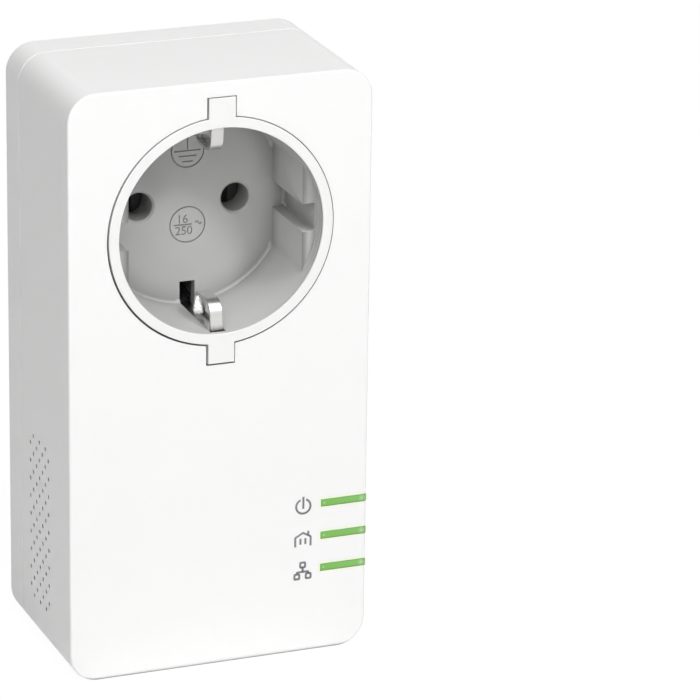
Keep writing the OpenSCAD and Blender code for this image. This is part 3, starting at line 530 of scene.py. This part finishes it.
def light_plastic():
    """Lit light guide: deep green, duller along its edges, with a small bright dot near each end"""
    light = bpy.context.scene.adapter_light
    green = light.green
    dull = dimmed(green, 0.55, 0.09)
    low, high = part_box(BAR_NODES[0])
    half = (high.z - low.z) / 2
    pitch = low.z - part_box(BAR_NODES[1])[0].z
    left_dot, right_dot = low.x + 0.6 * MM, high.x - 0.95 * MM
    material, tree = new_material("light_plastic")
    point = add(tree, "ShaderNodeTexCoord").outputs["Object"]
    axes = add(tree, "ShaderNodeSeparateXYZ", {0: point})
    along = axes.outputs["X"]
    middle = maths(tree, "ADD", axes.outputs["Z"], -(low.z + high.z) / 2)
    across = maths(tree, "PINGPONG", middle, pitch / 2)

    def laid(tone, value, share, start, end, colour):
        """The tone with a colour laid over it, up to a share, as the value goes from start to end"""
        return colour_mix(tree, mapped(tree, value, 0.0, share, start, end), tone, colour)
    fine = noise(tree, 2500.0)
    tone = colour_mix(tree, fine, dimmed(green, 0.92), green)
    tone = laid(tone, along, 0.55, low.x + 0.4 * MM, high.x, dimmed(green, 0.85, 0.08))
    tone = laid(tone, across, 0.9, half - 0.3 * MM, half - 0.06 * MM, dull)
    left_end = mapped(tree, along, 0.9, 0.0, low.x + 0.05 * MM, low.x + 0.35 * MM)
    right_end = mapped(tree, along, 0.0, 0.9, high.x - 0.3 * MM, high.x - 0.05 * MM)
    tone = colour_mix(tree, maths(tree, "MAXIMUM", left_end, right_end), tone, dull)
    window = dot_mask(tree, along, across, right_dot, 0.6 * MM, 0.12 * MM)
    tone = laid(tone, window, 0.55, 0.0, 1.0, dimmed(green, 0.6, 0.22))
    for x in (left_dot, right_dot):
        dot = dot_mask(tree, along, across, x, 0.2 * MM, 0.1 * MM)
        tone = laid(tone, dot, 0.4, 0.0, 1.0, (0.5, 0.75, 0.45))
    coat(tree, tone, fine, (0.26, 0.34), fine, 0.002 * MM, Emission_Color=tone,
         Emission_Strength=light.glow, Subsurface_Weight=0.1, Subsurface_Scale=0.3 * MM)
    return material


def speckled(name, colour, spot, size, roughness, depth):
    """A body colour with spots of a second tone and an uneven surface"""
    material, tree = new_material(name)
    cells = add(tree, "ShaderNodeTexVoronoi", {"Vector": object_place(tree, 1 / size), "Scale": 1.0})
    cloud = noise(tree, 0.4 / size, 3.0, 0.6)
    share = mapped(tree, cells.outputs["Distance"], 1.0, 0.0, 0.1, 0.6)
    tone = colour_mix(tree, share, colour, spot)
    coat(tree, tone, cloud, (roughness - 0.08, roughness + 0.1), cloud, depth)
    return material


def wound(name, colour, gap, waves, threshold=0.62):
    """Turns of wire or tape: bands across one axis, with a darker line between two turns"""
    material, tree = new_material(name)
    bands = add(tree, "ShaderNodeTexWave", {
        "Vector": object_place(tree, waves), "Scale": 1.0, "Distortion": 0.3,
    }, wave_type="BANDS", bands_direction="DIAGONAL", wave_profile="SIN").outputs["Fac"]
    fine = noise(tree, 1500.0)
    tone = colour_mix(tree, mapped(tree, bands, 0.0, 1.0, threshold, threshold + 0.1), colour, gap)
    dim = colour_mix(tree, fine, dimmed(colour, 0.8), colour)
    coat(tree, colour_mix(tree, 0.6, tone, dim), fine, (0.3, 0.42), bands, 0.05 * MM)
    return material


def chip_resin():
    """Matt moulded resin with a fine grain and a faintly paler tone in patches"""
    material, tree = new_material("chip_resin")
    fine = noise(tree, 6000.0, 2.0, 0.6)
    tone = colour_mix(tree, noise(tree, 250.0, 3.0, 0.5), (0.022, 0.022, 0.024), (0.04, 0.04, 0.042))
    coat(tree, tone, fine, (0.42, 0.62), fine, 0.006 * MM)
    return material


def solder_mask():
    """Green solder mask over copper tracks, with bare tinned pads and their holes"""
    material, tree = new_material("solder_mask")
    black, white = (0.0, 0.0, 0.0, 1.0), (1.0, 1.0, 1.0, 1.0)
    axes = add(tree, "ShaderNodeSeparateXYZ", {0: object_place(tree, 420.0)}).outputs
    flat = add(tree, "ShaderNodeCombineXYZ", {"X": axes["X"], "Y": axes["Z"]}).outputs[0]
    tracks = add(tree, "ShaderNodeTexBrick", {
        "Vector": flat, "Scale": 1.0, "Mortar Size": 0.06,
        "Color1": black, "Color2": black, "Mortar": white})
    spots = add(tree, "ShaderNodeTexVoronoi", {
        "Vector": flat, "Scale": 0.7, "Randomness": 0.35}).outputs["Distance"]
    pad = mapped(tree, spots, 1.0, 0.0, 0.2, 0.23)
    hole = mapped(tree, spots, 1.0, 0.0, 0.08, 0.1)
    tone = colour_mix(tree, noise(tree, 90.0), (0.012, 0.13, 0.05), (0.02, 0.17, 0.07))
    tone = colour_mix(tree, tracks.outputs["Color"], tone, (0.05, 0.26, 0.11))
    tone = colour_mix(tree, pad, tone, (0.62, 0.61, 0.58))
    tone = colour_mix(tree, hole, tone, (0.02, 0.02, 0.02))
    coat(tree, tone, pad, (0.28, 0.35), tracks.outputs["Fac"], 0.03 * MM, Metallic=pad)
    return material


# Pieces

def widths(*rules):
    """A function from an edge to its width, by the first rule that fits both ends"""
    def width_at(a, b):
        for fits, width in rules:
            if fits(a) and fits(b):
                return width
        return 0.0
    return width_at


def at(axis, value):
    return lambda point: abs(point[axis] - value) < TOUCH


def within(radius):
    """True for a point closer than a radius to the socket's axis"""
    return lambda point: math.hypot(point.x, point.z) < radius


def on_outline():
    """True for a point on the case's outline, seen from the front"""
    middle = (CASE_LOW + CASE_HIGH) / 2
    flat = (CASE_HIGH - CASE_LOW) / 2 - Vector((CASE_CORNER,) * 3)

    def fits(point):
        dx = max(abs(point.x - middle.x) - flat.x, 0.0)
        dz = max(abs(point.z - middle.z) - flat.z, 0.0)
        return abs(math.hypot(dx, dz) - CASE_CORNER) < 2 * TOUCH
    return fits


def both(*tests):
    return lambda point: all(test(point) for test in tests)


def finished(node, name, material, slot, body, edge, angle=35):
    """A construction node as a finished piece with rounded edges"""
    piece = merged_copy(node, name)
    round_edges(piece, lambda a, b: edge, edge, 2, angle)
    smooth(piece, angle)
    place(piece, body, material, slot, node)


def islands(node):
    """The box of each separate solid of a node, from the left, from the top and from the front"""
    bm = node_mesh(node)
    left = set(bm.verts)
    boxes = []
    while left:
        stack = [left.pop()]
        low, high = stack[0].co.copy(), stack[0].co.copy()
        while stack:
            vert = stack.pop()
            low = Vector(map(min, low, vert.co))
            high = Vector(map(max, high, vert.co))
            for edge in vert.link_edges:
                other = edge.other_vert(vert)
                if other in left:
                    left.remove(other)
                    stack.append(other)
        boxes.append((low, high))
    bm.free()
    return sorted(boxes, key=lambda box: (round(box[0].x, 4), -round(box[0].z, 4), round(box[0].y, 4)))


def block(name, size):
    """A box round the origin"""
    bm = bmesh.new()
    bmesh.ops.create_cube(bm, size=1.0)
    bmesh.ops.scale(bm, vec=size, verts=bm.verts)
    return mesh_object(name, bm)


def skinned(name, rings):
    """A closed solid through rings of as many points each, with flat ends"""
    bm = bmesh.new()
    rings = [[bm.verts.new(point) for point in ring] for ring in rings]
    count = len(rings[0])
    for low, high in zip(rings, rings[1:]):
        for i in range(count):
            j = (i + 1) % count
            bm.faces.new((low[i], low[j], high[j], high[i]))
    bm.faces.new(rings[0])
    bm.faces.new(rings[-1])
    bmesh.ops.recalc_face_normals(bm, faces=bm.faces)
    return mesh_object(name, bm)


def lathe(name, outline, steps):
    """A solid turned about the Y axis from (radius, y) points"""
    turns = [math.tau * i / steps for i in range(steps)]
    return skinned(name, [[(radius * math.cos(turn), y, radius * math.sin(turn)) for turn in turns]
                          for radius, y in outline])


def ribbon(name, spine, wide, thick):
    """A strip that follows (y, z) points, of a width along X"""
    rings = []
    for i, (y, z) in enumerate(spine):
        a, b = spine[max(i - 1, 0)], spine[min(i + 1, len(spine) - 1)]
        along = math.hypot(b[0] - a[0], b[1] - a[1])
        ny, nz = (b[1] - a[1]) / along, -(b[0] - a[0]) / along
        rings.append([(sx * wide / 2, y + sn * ny * thick / 2, z + sn * nz * thick / 2)
                      for sx, sn in ((-1, -1), (1, -1), (1, 1), (-1, 1))])
    return skinned(name, rings)


def carve(piece, tool):
    """Cuts a tool out of a piece; the tool is used up"""
    cut = piece.modifiers.new("cut", "BOOLEAN")
    cut.operation = "DIFFERENCE"
    cut.solver = "EXACT"
    cut.object = tool
    baked(piece)
    bpy.data.objects.remove(tool)


def copies_tree():
    """A copy of a shape on every point of a mesh, each turned about Y a step more than the last

    The points' attribute "facing" turns a copy about Z."""
    tree, given = new_tree(
        "set_of_copies", Shape=("Object", None), Turn_step=("Float", 0.0), Material=("Material", None))
    shape = add(tree, "GeometryNodeObjectInfo", {"Object": given["Shape"]})
    points = add(tree, "GeometryNodeMeshToPoints", {"Mesh": given["Geometry"]})
    index = add(tree, "GeometryNodeInputIndex")
    turn = maths(tree, "MULTIPLY", index.outputs["Index"], given["Turn step"])
    facing = add(tree, "GeometryNodeInputNamedAttribute", {"Name": "facing"}, data_type="FLOAT")
    turned = add(tree, "ShaderNodeCombineXYZ", {"Y": turn, "Z": facing.outputs["Attribute"]})
    copies = add(tree, "GeometryNodeInstanceOnPoints", {
        "Points": points.outputs["Points"], "Instance": shape.outputs["Geometry"],
        "Rotation": turned.outputs["Vector"]})
    return ended(tree, given, copies.outputs["Instances"])


def repeated(name, places, shape, material, turn_step=0.0, facing=None):
    """One plain mesh with a copy of a shape at each place; the shape is used up"""
    bm = bmesh.new()
    layer = bm.verts.layers.float.new("facing")
    for spot, angle in zip(places, facing or [0.0] * len(places)):
        bm.verts.new(spot)[layer] = angle
    piece = mesh_object(name, bm)
    add_tree(piece, copies_tree(), Shape=shape, Turn_step=turn_step, Material=material)
    baked(piece)
    bpy.data.objects.remove(shape)
    return piece


class ADAPTER_OT_stage(bpy.types.Operator):
    """Sets up the camera, the lamps and the floor"""

    bl_idname = "adapter.stage"
    bl_label = "Stage"

    def execute(self, context):
        settings = context.scene.adapter_stage
        self.camera(context, settings)
        self.world(context, settings)
        self.lamps(settings)
        self.floor(settings)
        context.scene.view_settings.view_transform = "Standard"
        return {"FINISHED"}

    def camera(self, context, settings):
        data = bpy.data.cameras.new("camera")
        data.lens = settings.lens
        data.sensor_width = 36.0
        data.clip_start = 0.05
        data.clip_end = 50.0
        camera = new_object("camera", data)
        turn = Matrix.Rotation(-settings.azimuth, 4, "Z") \
            @ Matrix.Rotation(math.pi / 2 - settings.tilt, 4, "X") \
            @ Matrix.Rotation(settings.roll, 4, "Z")
        camera.matrix_world = Matrix.Translation(settings.camera_place) @ turn
        context.scene.camera = camera

    def world(self, context, settings):
        """White when seen straight, in a reflection or through glass, and dim as a light"""
        world = bpy.data.worlds.new("studio")
        world.use_nodes = True
        tree = world.node_tree
        rays = add(tree, "ShaderNodeLightPath").outputs
        bounced = maths(tree, "ADD", rays["Is Glossy Ray"], rays["Is Transmission Ray"])
        seen = add(tree, "ShaderNodeMath", {
            0: rays["Is Camera Ray"], 1: bounced}, operation="ADD", use_clamp=True).outputs[0]
        feed(tree, tree.nodes["Background"], {
            "Color": (1.0, 1.0, 1.0, 1.0), "Strength": mapped(tree, seen, settings.ambient, 1.0)})
        context.scene.world = world

    def lamps(self, settings):
        middle = (CASE_LOW + CASE_HIGH) / 2
        full = settings.light * (math.pi * settings.lamp_distance) ** 2
        for name, side, up, width, share in LAMPS:
            turn, tilt = math.radians(side), math.radians(up)
            towards = Vector((
                math.sin(turn) * math.cos(tilt), -math.cos(turn) * math.cos(tilt), math.sin(tilt)))
            data = bpy.data.lights.new(name, "AREA")
            data.shape = "SQUARE"
            data.size = width
            data.energy = full * share
            lamp = new_object(name, data)
            aim = (-towards).to_track_quat("-Z", "Y").to_matrix().to_4x4()
            lamp.matrix_world = Matrix.Translation(middle + settings.lamp_distance * towards) @ aim
            lamp.visible_glossy = name != "back_box"

    def floor(self, settings):
        """A paper sweep that shows as white, but for a share of the shadow on it"""
        reach, bend, rise, side = 3.0, 0.8, 2.2, 4.0
        turns = [math.radians(6 * i) for i in range(16)]
        profile = [(-reach, 0.0)]
        profile += [(reach + bend * math.sin(turn), bend * (1 - math.cos(turn))) for turn in turns]
        profile.append((reach + bend, rise))
        bm = bmesh.new()
        rows = [[bm.verts.new((x, y, CASE_LOW.z + z)) for y, z in profile] for x in (-side, side)]
        for i in range(len(profile) - 1):
            bm.faces.new((rows[0][i], rows[1][i], rows[1][i + 1], rows[0][i + 1]))
        sweep = mesh_object("studio_sweep", bm)
        smooth(sweep, 60)
        material, tree = new_material("studio_paper")
        shader = tree.nodes["Principled BSDF"]
        feed(tree, shader, {
            "Base Color": (0.86, 0.86, 0.86, 1.0),
            "Roughness": mapped(tree, noise(tree, 40.0), 0.85, 0.95)})
        glow = add(tree, "ShaderNodeEmission", {"Strength": 1.04})
        rays = add(tree, "ShaderNodeLightPath").outputs
        seen = maths(tree, "MAXIMUM", rays["Is Camera Ray"], rays["Is Glossy Ray"])
        share = maths(tree, "MULTIPLY", seen, 1 - settings.shadow)
        mix = add(tree, "ShaderNodeMixShader", {
            "Fac": share, 1: shader.outputs["BSDF"], 2: glow.outputs["Emission"]})
        feed(tree, tree.nodes["Material Output"], {"Surface": mix.outputs["Shader"]})
        paint(sweep.data, material)


class ADAPTER_OT_covers(bpy.types.Operator):
    """Makes the front and rear cover with rounded edges"""

    bl_idname = "adapter.covers"
    bl_label = "Covers"

    def execute(self, context):
        case = context.scene.adapter_case
        socket_opening = 26 * MM
        rear_step = SEAM_Y + 0.5 * MM
        self.cover(case.edge, "front_cover", "front_shell", cover_plastic(), widths(
            (both(at(1, FRONT_Y), on_outline()), case.edge),
            (both(at(1, SEAM_Y), on_outline()), case.rim),
            (both(at(1, FRONT_Y), within(socket_opening)), case.rim),
            (at(2, CASE_LOW.z), case.rim)))
        self.cover(case.edge, "rear_cover", "rear_shell", case_plastic("white_plastic"), widths(
            (both(at(1, BACK_Y), on_outline()), case.edge),
            (at(1, BACK_Y), case.rim),
            (both(lambda point: point.y < rear_step, on_outline()), case.rim)))
        return {"FINISHED"}

    def cover(self, widest, node, name, material, width_at):
        cover = merged_copy(node, name)
        round_edges(cover, width_at, widest)
        smooth(cover)
        place(cover, "case", material, "white_plastic", node)


class ADAPTER_OT_collar(bpy.types.Operator):
    """Makes the white collar round the socket"""

    bl_idname = "adapter.collar"
    bl_label = "Collar"

    def execute(self, context):
        case = context.scene.adapter_case
        collar = merged_copy("socket_collar", "collar_ring")
        round_edges(collar, widths((at(1, COLLAR_Y), case.rim)), case.rim)
        smooth(collar)
        collar.data.transform(Matrix.Translation((case.collar_shift, 0.0, case.collar_shift)))
        place(collar, "case", bpy.data.materials["white_plastic"], "white_plastic", "socket_collar")
        return {"FINISHED"}


class ADAPTER_OT_cup(bpy.types.Operator):
    """Makes the grey recess with its engraved marks"""

    bl_idname = "adapter.cup"
    bl_label = "Recess"

    def execute(self, context):
        settings = context.scene.adapter_socket
        cup = merged_copy("socket_cup", "recess_cup")
        floor_y = COLLAR_Y + settings.depth
        wall_r = 19.65 * MM
        above_floor = floor_y - 1 * MM
        round_edges(cup, widths(
            (both(within(wall_r), lambda point: point.y < above_floor), settings.edge)), settings.edge, 2)
        for tool in self.marks(settings, floor_y):
            carve(cup, tool)
        smooth(cup, 30)
        place(cup, "case", cup_plastic(), "cup_plastic", "socket_cup")
        return {"FINISHED"}

    def marks(self, settings, floor_y):
        """Cutters for the marks; parts that touch are in different cutters"""
        def strokes(name, *lines):
            return drawn(name, floor_y, lines, settings.mark_width, 2 * settings.mark_depth, 0.0, None)

        def ring(mid, r):
            return (True, arc(0, mid, r, 0, 352.5, 47))
        mid, r = settings.rating_z, settings.rating_r
        wave = [(r * (0.45 + 0.36 * i / 16), mid + r * (0.06 + 0.09 * math.sin(math.tau * i / 16)))
                for i in range(17)]
        bar = [(-0.78 * r, mid), (0.24 * r, mid)]
        tools = [strokes("rating_ring", ring(mid, r), (False, bar), (False, wave))]
        for text, x, z in (("16", -0.29 * r, mid + 0.1 * r), ("250", -0.2 * r, mid - 0.56 * r)):
            tools.append(self.letters(text, x, z, 0.47 * r, floor_y, settings.mark_depth))
        mid, r = settings.earth_z, settings.earth_r
        bars = [(False, [(-half * r, mid - drop * r), (half * r, mid - drop * r)])
                for drop, half in ((0.0, 0.81), (0.32, 0.54), (0.65, 0.33))]
        tools.append(strokes("earth_ring", ring(mid, r), *bars))
        tools.append(strokes("earth_stem", (False, [(0, mid + 0.9 * r), (0, mid)])))
        return tools

    def letters(self, text, x, z, height, y, depth):
        """A line of text as a cutter, with the middle of its foot at x, z"""
        cap_height = 0.7
        curve = bpy.data.curves.new(text, "FONT")
        curve.body = text
        curve.align_x = "CENTER"
        curve.size = height / cap_height
        curve.extrude = depth
        piece = baked(new_object(text, curve))
        piece.data.transform(Matrix.Translation((x, y, z)) @ Matrix.Rotation(math.pi / 2, 4, "X"))
        return piece


class ADAPTER_OT_light_bars(bpy.types.Operator):
    """Makes the three light bars"""

    bl_idname = "adapter.light_bars"
    bl_label = "Light bars"

    def execute(self, context):
        material = light_plastic()
        edge = 0.06 * MM
        for node in BAR_NODES:
            bar = merged_copy(node, node + "_guide")
            round_edges(bar, lambda a, b: edge, edge, 2)
            smooth(bar)
            place(bar, "case", material, "light_green", node)
        return {"FINISHED"}


class ADAPTER_OT_symbols(bpy.types.Operator):
    """Prints the power, home and network symbols beside the light bars"""

    bl_idname = "adapter.symbols"
    bl_label = "Symbols"

    def execute(self, context):
        settings = context.scene.adapter_print
        ink = moulded("printed_ink", settings.ink, 0.55, 0.1 * MM, 0.001 * MM, 0.08)
        drop = 0.15 * MM
        for node, maker in zip(BAR_NODES, (self.power, self.home, self.network)):
            low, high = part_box(node)
            lines = maker(settings.middle_x, (low.z + high.z) / 2 - drop, settings.size)
            symbol = drawn(maker.__name__ + "_symbol", FRONT_Y - settings.layer / 2, lines,
                           settings.line, settings.layer, 0.045 * settings.size, ink)
            place(symbol, "case", ink, "dark_plastic")
        return {"FINISHED"}

    def power(self, x, z, size):
        r, z = 0.445 * size, z - 0.015 * size
        return [(False, arc(x, z, r, 113, 427, 40)),
                (False, [(x, z + 0.6 * size), (x, z - 0.15 * size)])]

    def home(self, x, z, size):
        half, low, eave, top = 0.48 * size, -0.5 * size, 0.08 * size, 0.35 * size
        walls = [(x - half, z + low), (x - half, z + eave), (x, z + top),
                 (x + half, z + eave), (x + half, z + low)]
        bars = [(False, [(x + side * 0.155 * size, z - 0.37 * size), (x + side * 0.155 * size, z)])
                for side in (-1, 1)]
        chimney = [(x + 0.33 * size, z + 0.2 * size), (x + 0.33 * size, z + 0.44 * size)]
        return [(False, walls), (False, chimney)] + bars

    def network(self, x, z, size):
        half, side = 0.15 * size, 0.355 * size
        low, middle, top = -0.36 * size, -0.08 * size, 0.355 * size

        def box(across, up):
            cx, cz = x + across, z + up
            return (True, [(cx - half, cz - half), (cx + half, cz - half),
                           (cx + half, cz + half), (cx - half, cz + half)])
        tree = [(x - side, z + low + half), (x - side, z + middle),
                (x + side, z + middle), (x + side, z + low + half)]
        return [box(0, top), box(-side, low), box(side, low),
                (False, [(x, z + top - half), (x, z + middle)]), (False, tree)]


class ADAPTER_OT_screws(bpy.types.Operator):
    """Sets the case, carrier and board screws"""

    bl_idname = "adapter.screws"
    bl_label = "Screws"

    def execute(self, context):
        steel = metal("zinc_steel", (0.5, 0.51, 0.52), 0.3, (3000.0,) * 3, 0.002 * MM)
        for node, turn in (("case_screws", 17.0), ("carrier_screws", 40.0), ("board_screws", 61.0)):
            self.screws(node, math.radians(turn), steel)
        return {"FINISHED"}

    def screws(self, node, turn, steel):
        """One screw on each of the node's screws, as wide and as long as they are"""
        boxes = islands(node)
        behind = [self.head_behind(node, low, high) for low, high in boxes]
        places = [((low.x + high.x) / 2, high.y if back else low.y, (low.z + high.z) / 2)
                  for (low, high), back in zip(boxes, behind)]
        size = boxes[-1][1] - boxes[-1][0]
        shape = self.shape(size.x / 2, size.y)
        facing = [0.0 if back else math.pi for back in behind]
        piece = repeated(node + "_set", places, shape, steel, turn, facing)
        smooth(piece, 40)
        place(piece, "case", steel, "steel", node)

    def head_behind(self, node, low, high):
        """True if a screw's wide end is the one towards the back"""
        middle = (low + high) / 2
        half = (high.x - low.x) / 2
        heads = [vert.co.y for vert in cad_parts[node].data.vertices
                 if math.hypot(vert.co.x - middle.x, vert.co.z - middle.z) < 1.05 * half
                 and abs(vert.co.x - middle.x) > 0.95 * half and low.y <= vert.co.y <= high.y]
        return max(heads) > middle.y

    def shape(self, radius, length):
        """A domed head with a cross recess, its face at the origin and its shaft towards -Y"""
        head, shaft = 0.75 * radius, 0.48 * radius
        dome = ((0.93, 1.0), (0.99, 0.93), (0.99, 0.45), (0.9, 0.16), (0.7, 0.03))
        outline = [(shaft, -length), (shaft, -head)]
        outline += [(radius * across, -head * down) for across, down in dome]
        screw = lathe("screw_shape", outline, 32)
        slot, reach, deep = 0.3 * radius, 1.3 * radius, 0.405 * radius
        for size in ((reach, deep * 2, slot), (slot, deep * 2, reach)):
            carve(screw, block("cross_tool", size))
        return screw


class ADAPTER_OT_earth_clips(bpy.types.Operator):
    """Makes the sprung earth strap of the socket"""

    bl_idname = "adapter.earth_clips"
    bl_label = "Earth clips"

    def execute(self, context):
        # the nickel gets painted shade in nooks closer than 1.6 mm
        nickel = metal(
            "nickel_strip", (0.72, 0.715, 0.7), 0.24, (2500.0, 500.0, 500.0), 0.002 * MM, 1.6 * MM)
        finished("socket_earth_strap", "earth_clips", nickel, "nickel", "case", 0.09 * MM)
        return {"FINISHED"}


class ADAPTER_OT_plug(bpy.types.Operator):
    """Makes the plug on the back with its pins and earth contacts"""

    bl_idname = "adapter.plug"
    bl_label = "Plug"

    def execute(self, context):
        white = bpy.data.materials["white_plastic"]
        finished("plug_body", "plug_housing", white, "white_plastic", "case", 0.25 * MM)
        pin = metal("pin_nickel", (0.58, 0.57, 0.54), 0.26, (300.0, 9000.0, 300.0))
        for node in ("line_pin", "neutral_pin"):
            finished(node, node + "_turned", pin, "nickel", "case", 0.12 * MM)
        nickel = bpy.data.materials["nickel_strip"]
        finished("plug_earth_strap", "plug_earth_contacts", nickel, "nickel", "case", 0.1 * MM)
        return {"FINISHED"}


class ADAPTER_OT_network_port(bpy.types.Operator):
    """Makes the network port: its shield, its housing and its eight contacts"""

    bl_idname = "adapter.network_port"
    bl_label = "Network port"

    def execute(self, context):
        tin = metal("tin_plate", (0.66, 0.66, 0.67), 0.3, (400.0, 400.0, 6000.0))
        finished("ethernet_jack_shield", "jack_shield", tin, "steel", "case", 0.1 * MM)
        black = moulded("port_black", (0.02, 0.02, 0.022), 0.38, 0.1 * MM, 0.003 * MM, 0.15)
        finished("ethernet_jack_housing", "jack_housing", black, "dark_plastic", "case", 0.12 * MM)
        gold = metal("contact_gold", (0.85, 0.62, 0.25), 0.18, (400.0, 400.0, 5000.0), 0.001 * MM)
        self.contacts(gold)
        return {"FINISHED"}

    def contacts(self, gold):
        """One sprung wire on each of the node's contacts, bent a quarter of a turn"""
        boxes = islands("ethernet_jack_contacts")
        places = [((low.x + high.x) / 2, low.y, low.z) for low, high in boxes]
        size = boxes[0][1] - boxes[0][0]
        thick, steps = 0.3 * MM, 8
        rise = size.y - thick
        spine = [(thick / 2 + rise * (1 - math.cos(math.pi * i / steps / 2)), size.z * i / steps)
                 for i in range(steps + 1)]
        wire = ribbon("contact_shape", spine, size.x, thick)
        piece = repeated("jack_contacts", places, wire, gold)
        smooth(piece, 40)
        place(piece, "case", gold, "brass", "ethernet_jack_contacts")


class ADAPTER_OT_controls(bpy.types.Operator):
    """Makes the pairing button and the safety shutter"""

    bl_idname = "adapter.controls"
    bl_label = "Button and shutter"

    def execute(self, context):
        white = bpy.data.materials["white_plastic"]
        finished("pair_button", "pairing_button", white, "white_plastic", "button", 0.3 * MM)
        dark = moulded("shutter_plastic", (0.03, 0.03, 0.032), 0.45, 0.12 * MM, 0.004 * MM, 0.2)
        finished("safety_shutter", "shutter_plate", dark, "dark_plastic", "shutter", 0.1 * MM)
        dress(dark, "pair_switch_plunger")
        return {"FINISHED"}


class ADAPTER_OT_inner_parts(bpy.types.Operator):
    """Gives the parts inside the case their finishes"""

    bl_idname = "adapter.inner_parts"
    bl_label = "Inner parts"

    def execute(self, context):
        self.metals()
        self.plastics()
        dress(chip_resin(), "processor", "memory_chips", "ethernet_transformer",
              "bridge_rectifier", "optocoupler", "coupling_transformer")
        dress(solder_mask(), "main_board", "power_board")
        self.windings()
        self.lacquers()
        return {"FINISHED"}

    def metals(self):
        dress(metal("spring_wire", (0.5, 0.5, 0.51), 0.25, (2000.0,) * 3, 0.002 * MM), "shutter_spring")
        dress(metal("crystal_can", (0.68, 0.68, 0.69), 0.22, (300.0, 300.0, 5000.0)), "clock_crystal")
        # the brass contacts get painted shade in nooks closer than 5 mm
        dress(metal("rolled_brass", (0.74, 0.53, 0.22), 0.27, (400.0, 2500.0, 400.0), 0.001 * MM, 5 * MM),
              "line_contact", "neutral_contact")
        dress(metal("black_anodised", (0.05, 0.05, 0.055), 0.42, (300.0, 300.0, 4000.0), 0.006 * MM),
              "heat_sink")

    def plastics(self):
        dress(moulded("carrier_plastic", (0.1, 0.1, 0.105), 0.45, 0.2 * MM, 0.006 * MM, 0.1),
              "contact_carrier")
        dress(moulded("lamp_resin", (0.85, 0.82, 0.6), 0.25, 0.3 * MM, 0.001 * MM, 0.1, 0.6), "status_leds")
        dress(moulded("switch_plastic", (0.035, 0.035, 0.04), 0.35, 0.15 * MM, 0.003 * MM, 0.2),
              "pair_switch", "board_connector")

    def windings(self):
        dress(wound("winding_tape", (0.75, 0.55, 0.06), (0.5, 0.34, 0.03), (0, 0, 1500.0)),
              "transformer_bobbin", "filter_capacitor")
        dress(wound("choke_winding", (0.42, 0.2, 0.07), (0.16, 0.06, 0.02), (1100.0, 0, 0)), "line_choke")
        dress(wound("shrink_sleeve", (0.02, 0.03, 0.1), (0.35, 0.36, 0.4), (120.0, 0, 0), 0.9),
              "bulk_capacitors", "output_capacitor")

    def lacquers(self):
        # name, colour, spots' colour, spots' size in mm, roughness, bumps' height in mm, node
        for name, colour, spot, size, roughness, depth, node in (
            ("ferrite", (0.035, 0.035, 0.038), (0.12, 0.12, 0.125), 0.25, 0.6, 0.02, "transformer_core"),
            ("fuse_ceramic", (0.78, 0.74, 0.64), (0.66, 0.62, 0.52), 0.6, 0.3, 0.006, "fuse"),
            ("varistor_lacquer", (0.04, 0.14, 0.42), (0.02, 0.09, 0.3), 0.9, 0.25, 0.03, "varistor"),
            ("brown_sleeve", (0.16, 0.065, 0.02), (0.11, 0.04, 0.012), 0.4, 0.4, 0.004, "line_lead"),
            ("blue_sleeve", (0.03, 0.12, 0.45), (0.02, 0.09, 0.36), 0.4, 0.4, 0.004, "neutral_lead"),
        ):
            dress(speckled(name, colour, spot, size * MM, roughness, depth * MM), node)


class ADAPTER_PT_panel(bpy.types.Panel):
    """Lists the adapter's settings and the pieces to build"""

    bl_idname = "ADAPTER_PT_panel"
    bl_label = "Powerline adapter"
    bl_space_type = "VIEW_3D"
    bl_region_type = "UI"
    bl_category = "Adapter"

    def draw(self, context):
        for name in SETTINGS:
            group = getattr(context.scene, name)
            box = self.layout.box()
            for prop in group.bl_rna.properties:
                if not prop.is_readonly and prop.identifier != "name":
                    box.prop(group, prop.identifier)
        for operator in OPERATORS:
            self.layout.operator(operator.bl_idname)


SETTINGS = {
    "adapter_case": CaseSettings,
    "adapter_socket": SocketSettings,
    "adapter_print": PrintSettings,
    "adapter_light": LightSettings,
    "adapter_stage": StageSettings,
}
OPERATORS = (
    ADAPTER_OT_stage,
    ADAPTER_OT_covers,
    ADAPTER_OT_collar,
    ADAPTER_OT_cup,
    ADAPTER_OT_light_bars,
    ADAPTER_OT_symbols,
    ADAPTER_OT_screws,
    ADAPTER_OT_earth_clips,
    ADAPTER_OT_plug,
    ADAPTER_OT_network_port,
    ADAPTER_OT_controls,
    ADAPTER_OT_inner_parts,
)


def register():
    for group in SETTINGS.values():
        bpy.utils.register_class(group)
    for operator in OPERATORS:
        bpy.utils.register_class(operator)
    bpy.utils.register_class(ADAPTER_PT_panel)
    for name, group in SETTINGS.items():
        setattr(bpy.types.Scene, name, PointerProperty(type=group))


def unregister():
    for name in SETTINGS:
        delattr(bpy.types.Scene, name)
    bpy.utils.unregister_class(ADAPTER_PT_panel)
    for operator in reversed(OPERATORS):
        bpy.utils.unregister_class(operator)
    for group in reversed(list(SETTINGS.values())):
        bpy.utils.unregister_class(group)


def main():
    register()
    for operator in OPERATORS:
        group, name = operator.bl_idname.split(".")
        getattr(getattr(bpy.ops, group), name)()


if __name__ == "__main__":
    main()
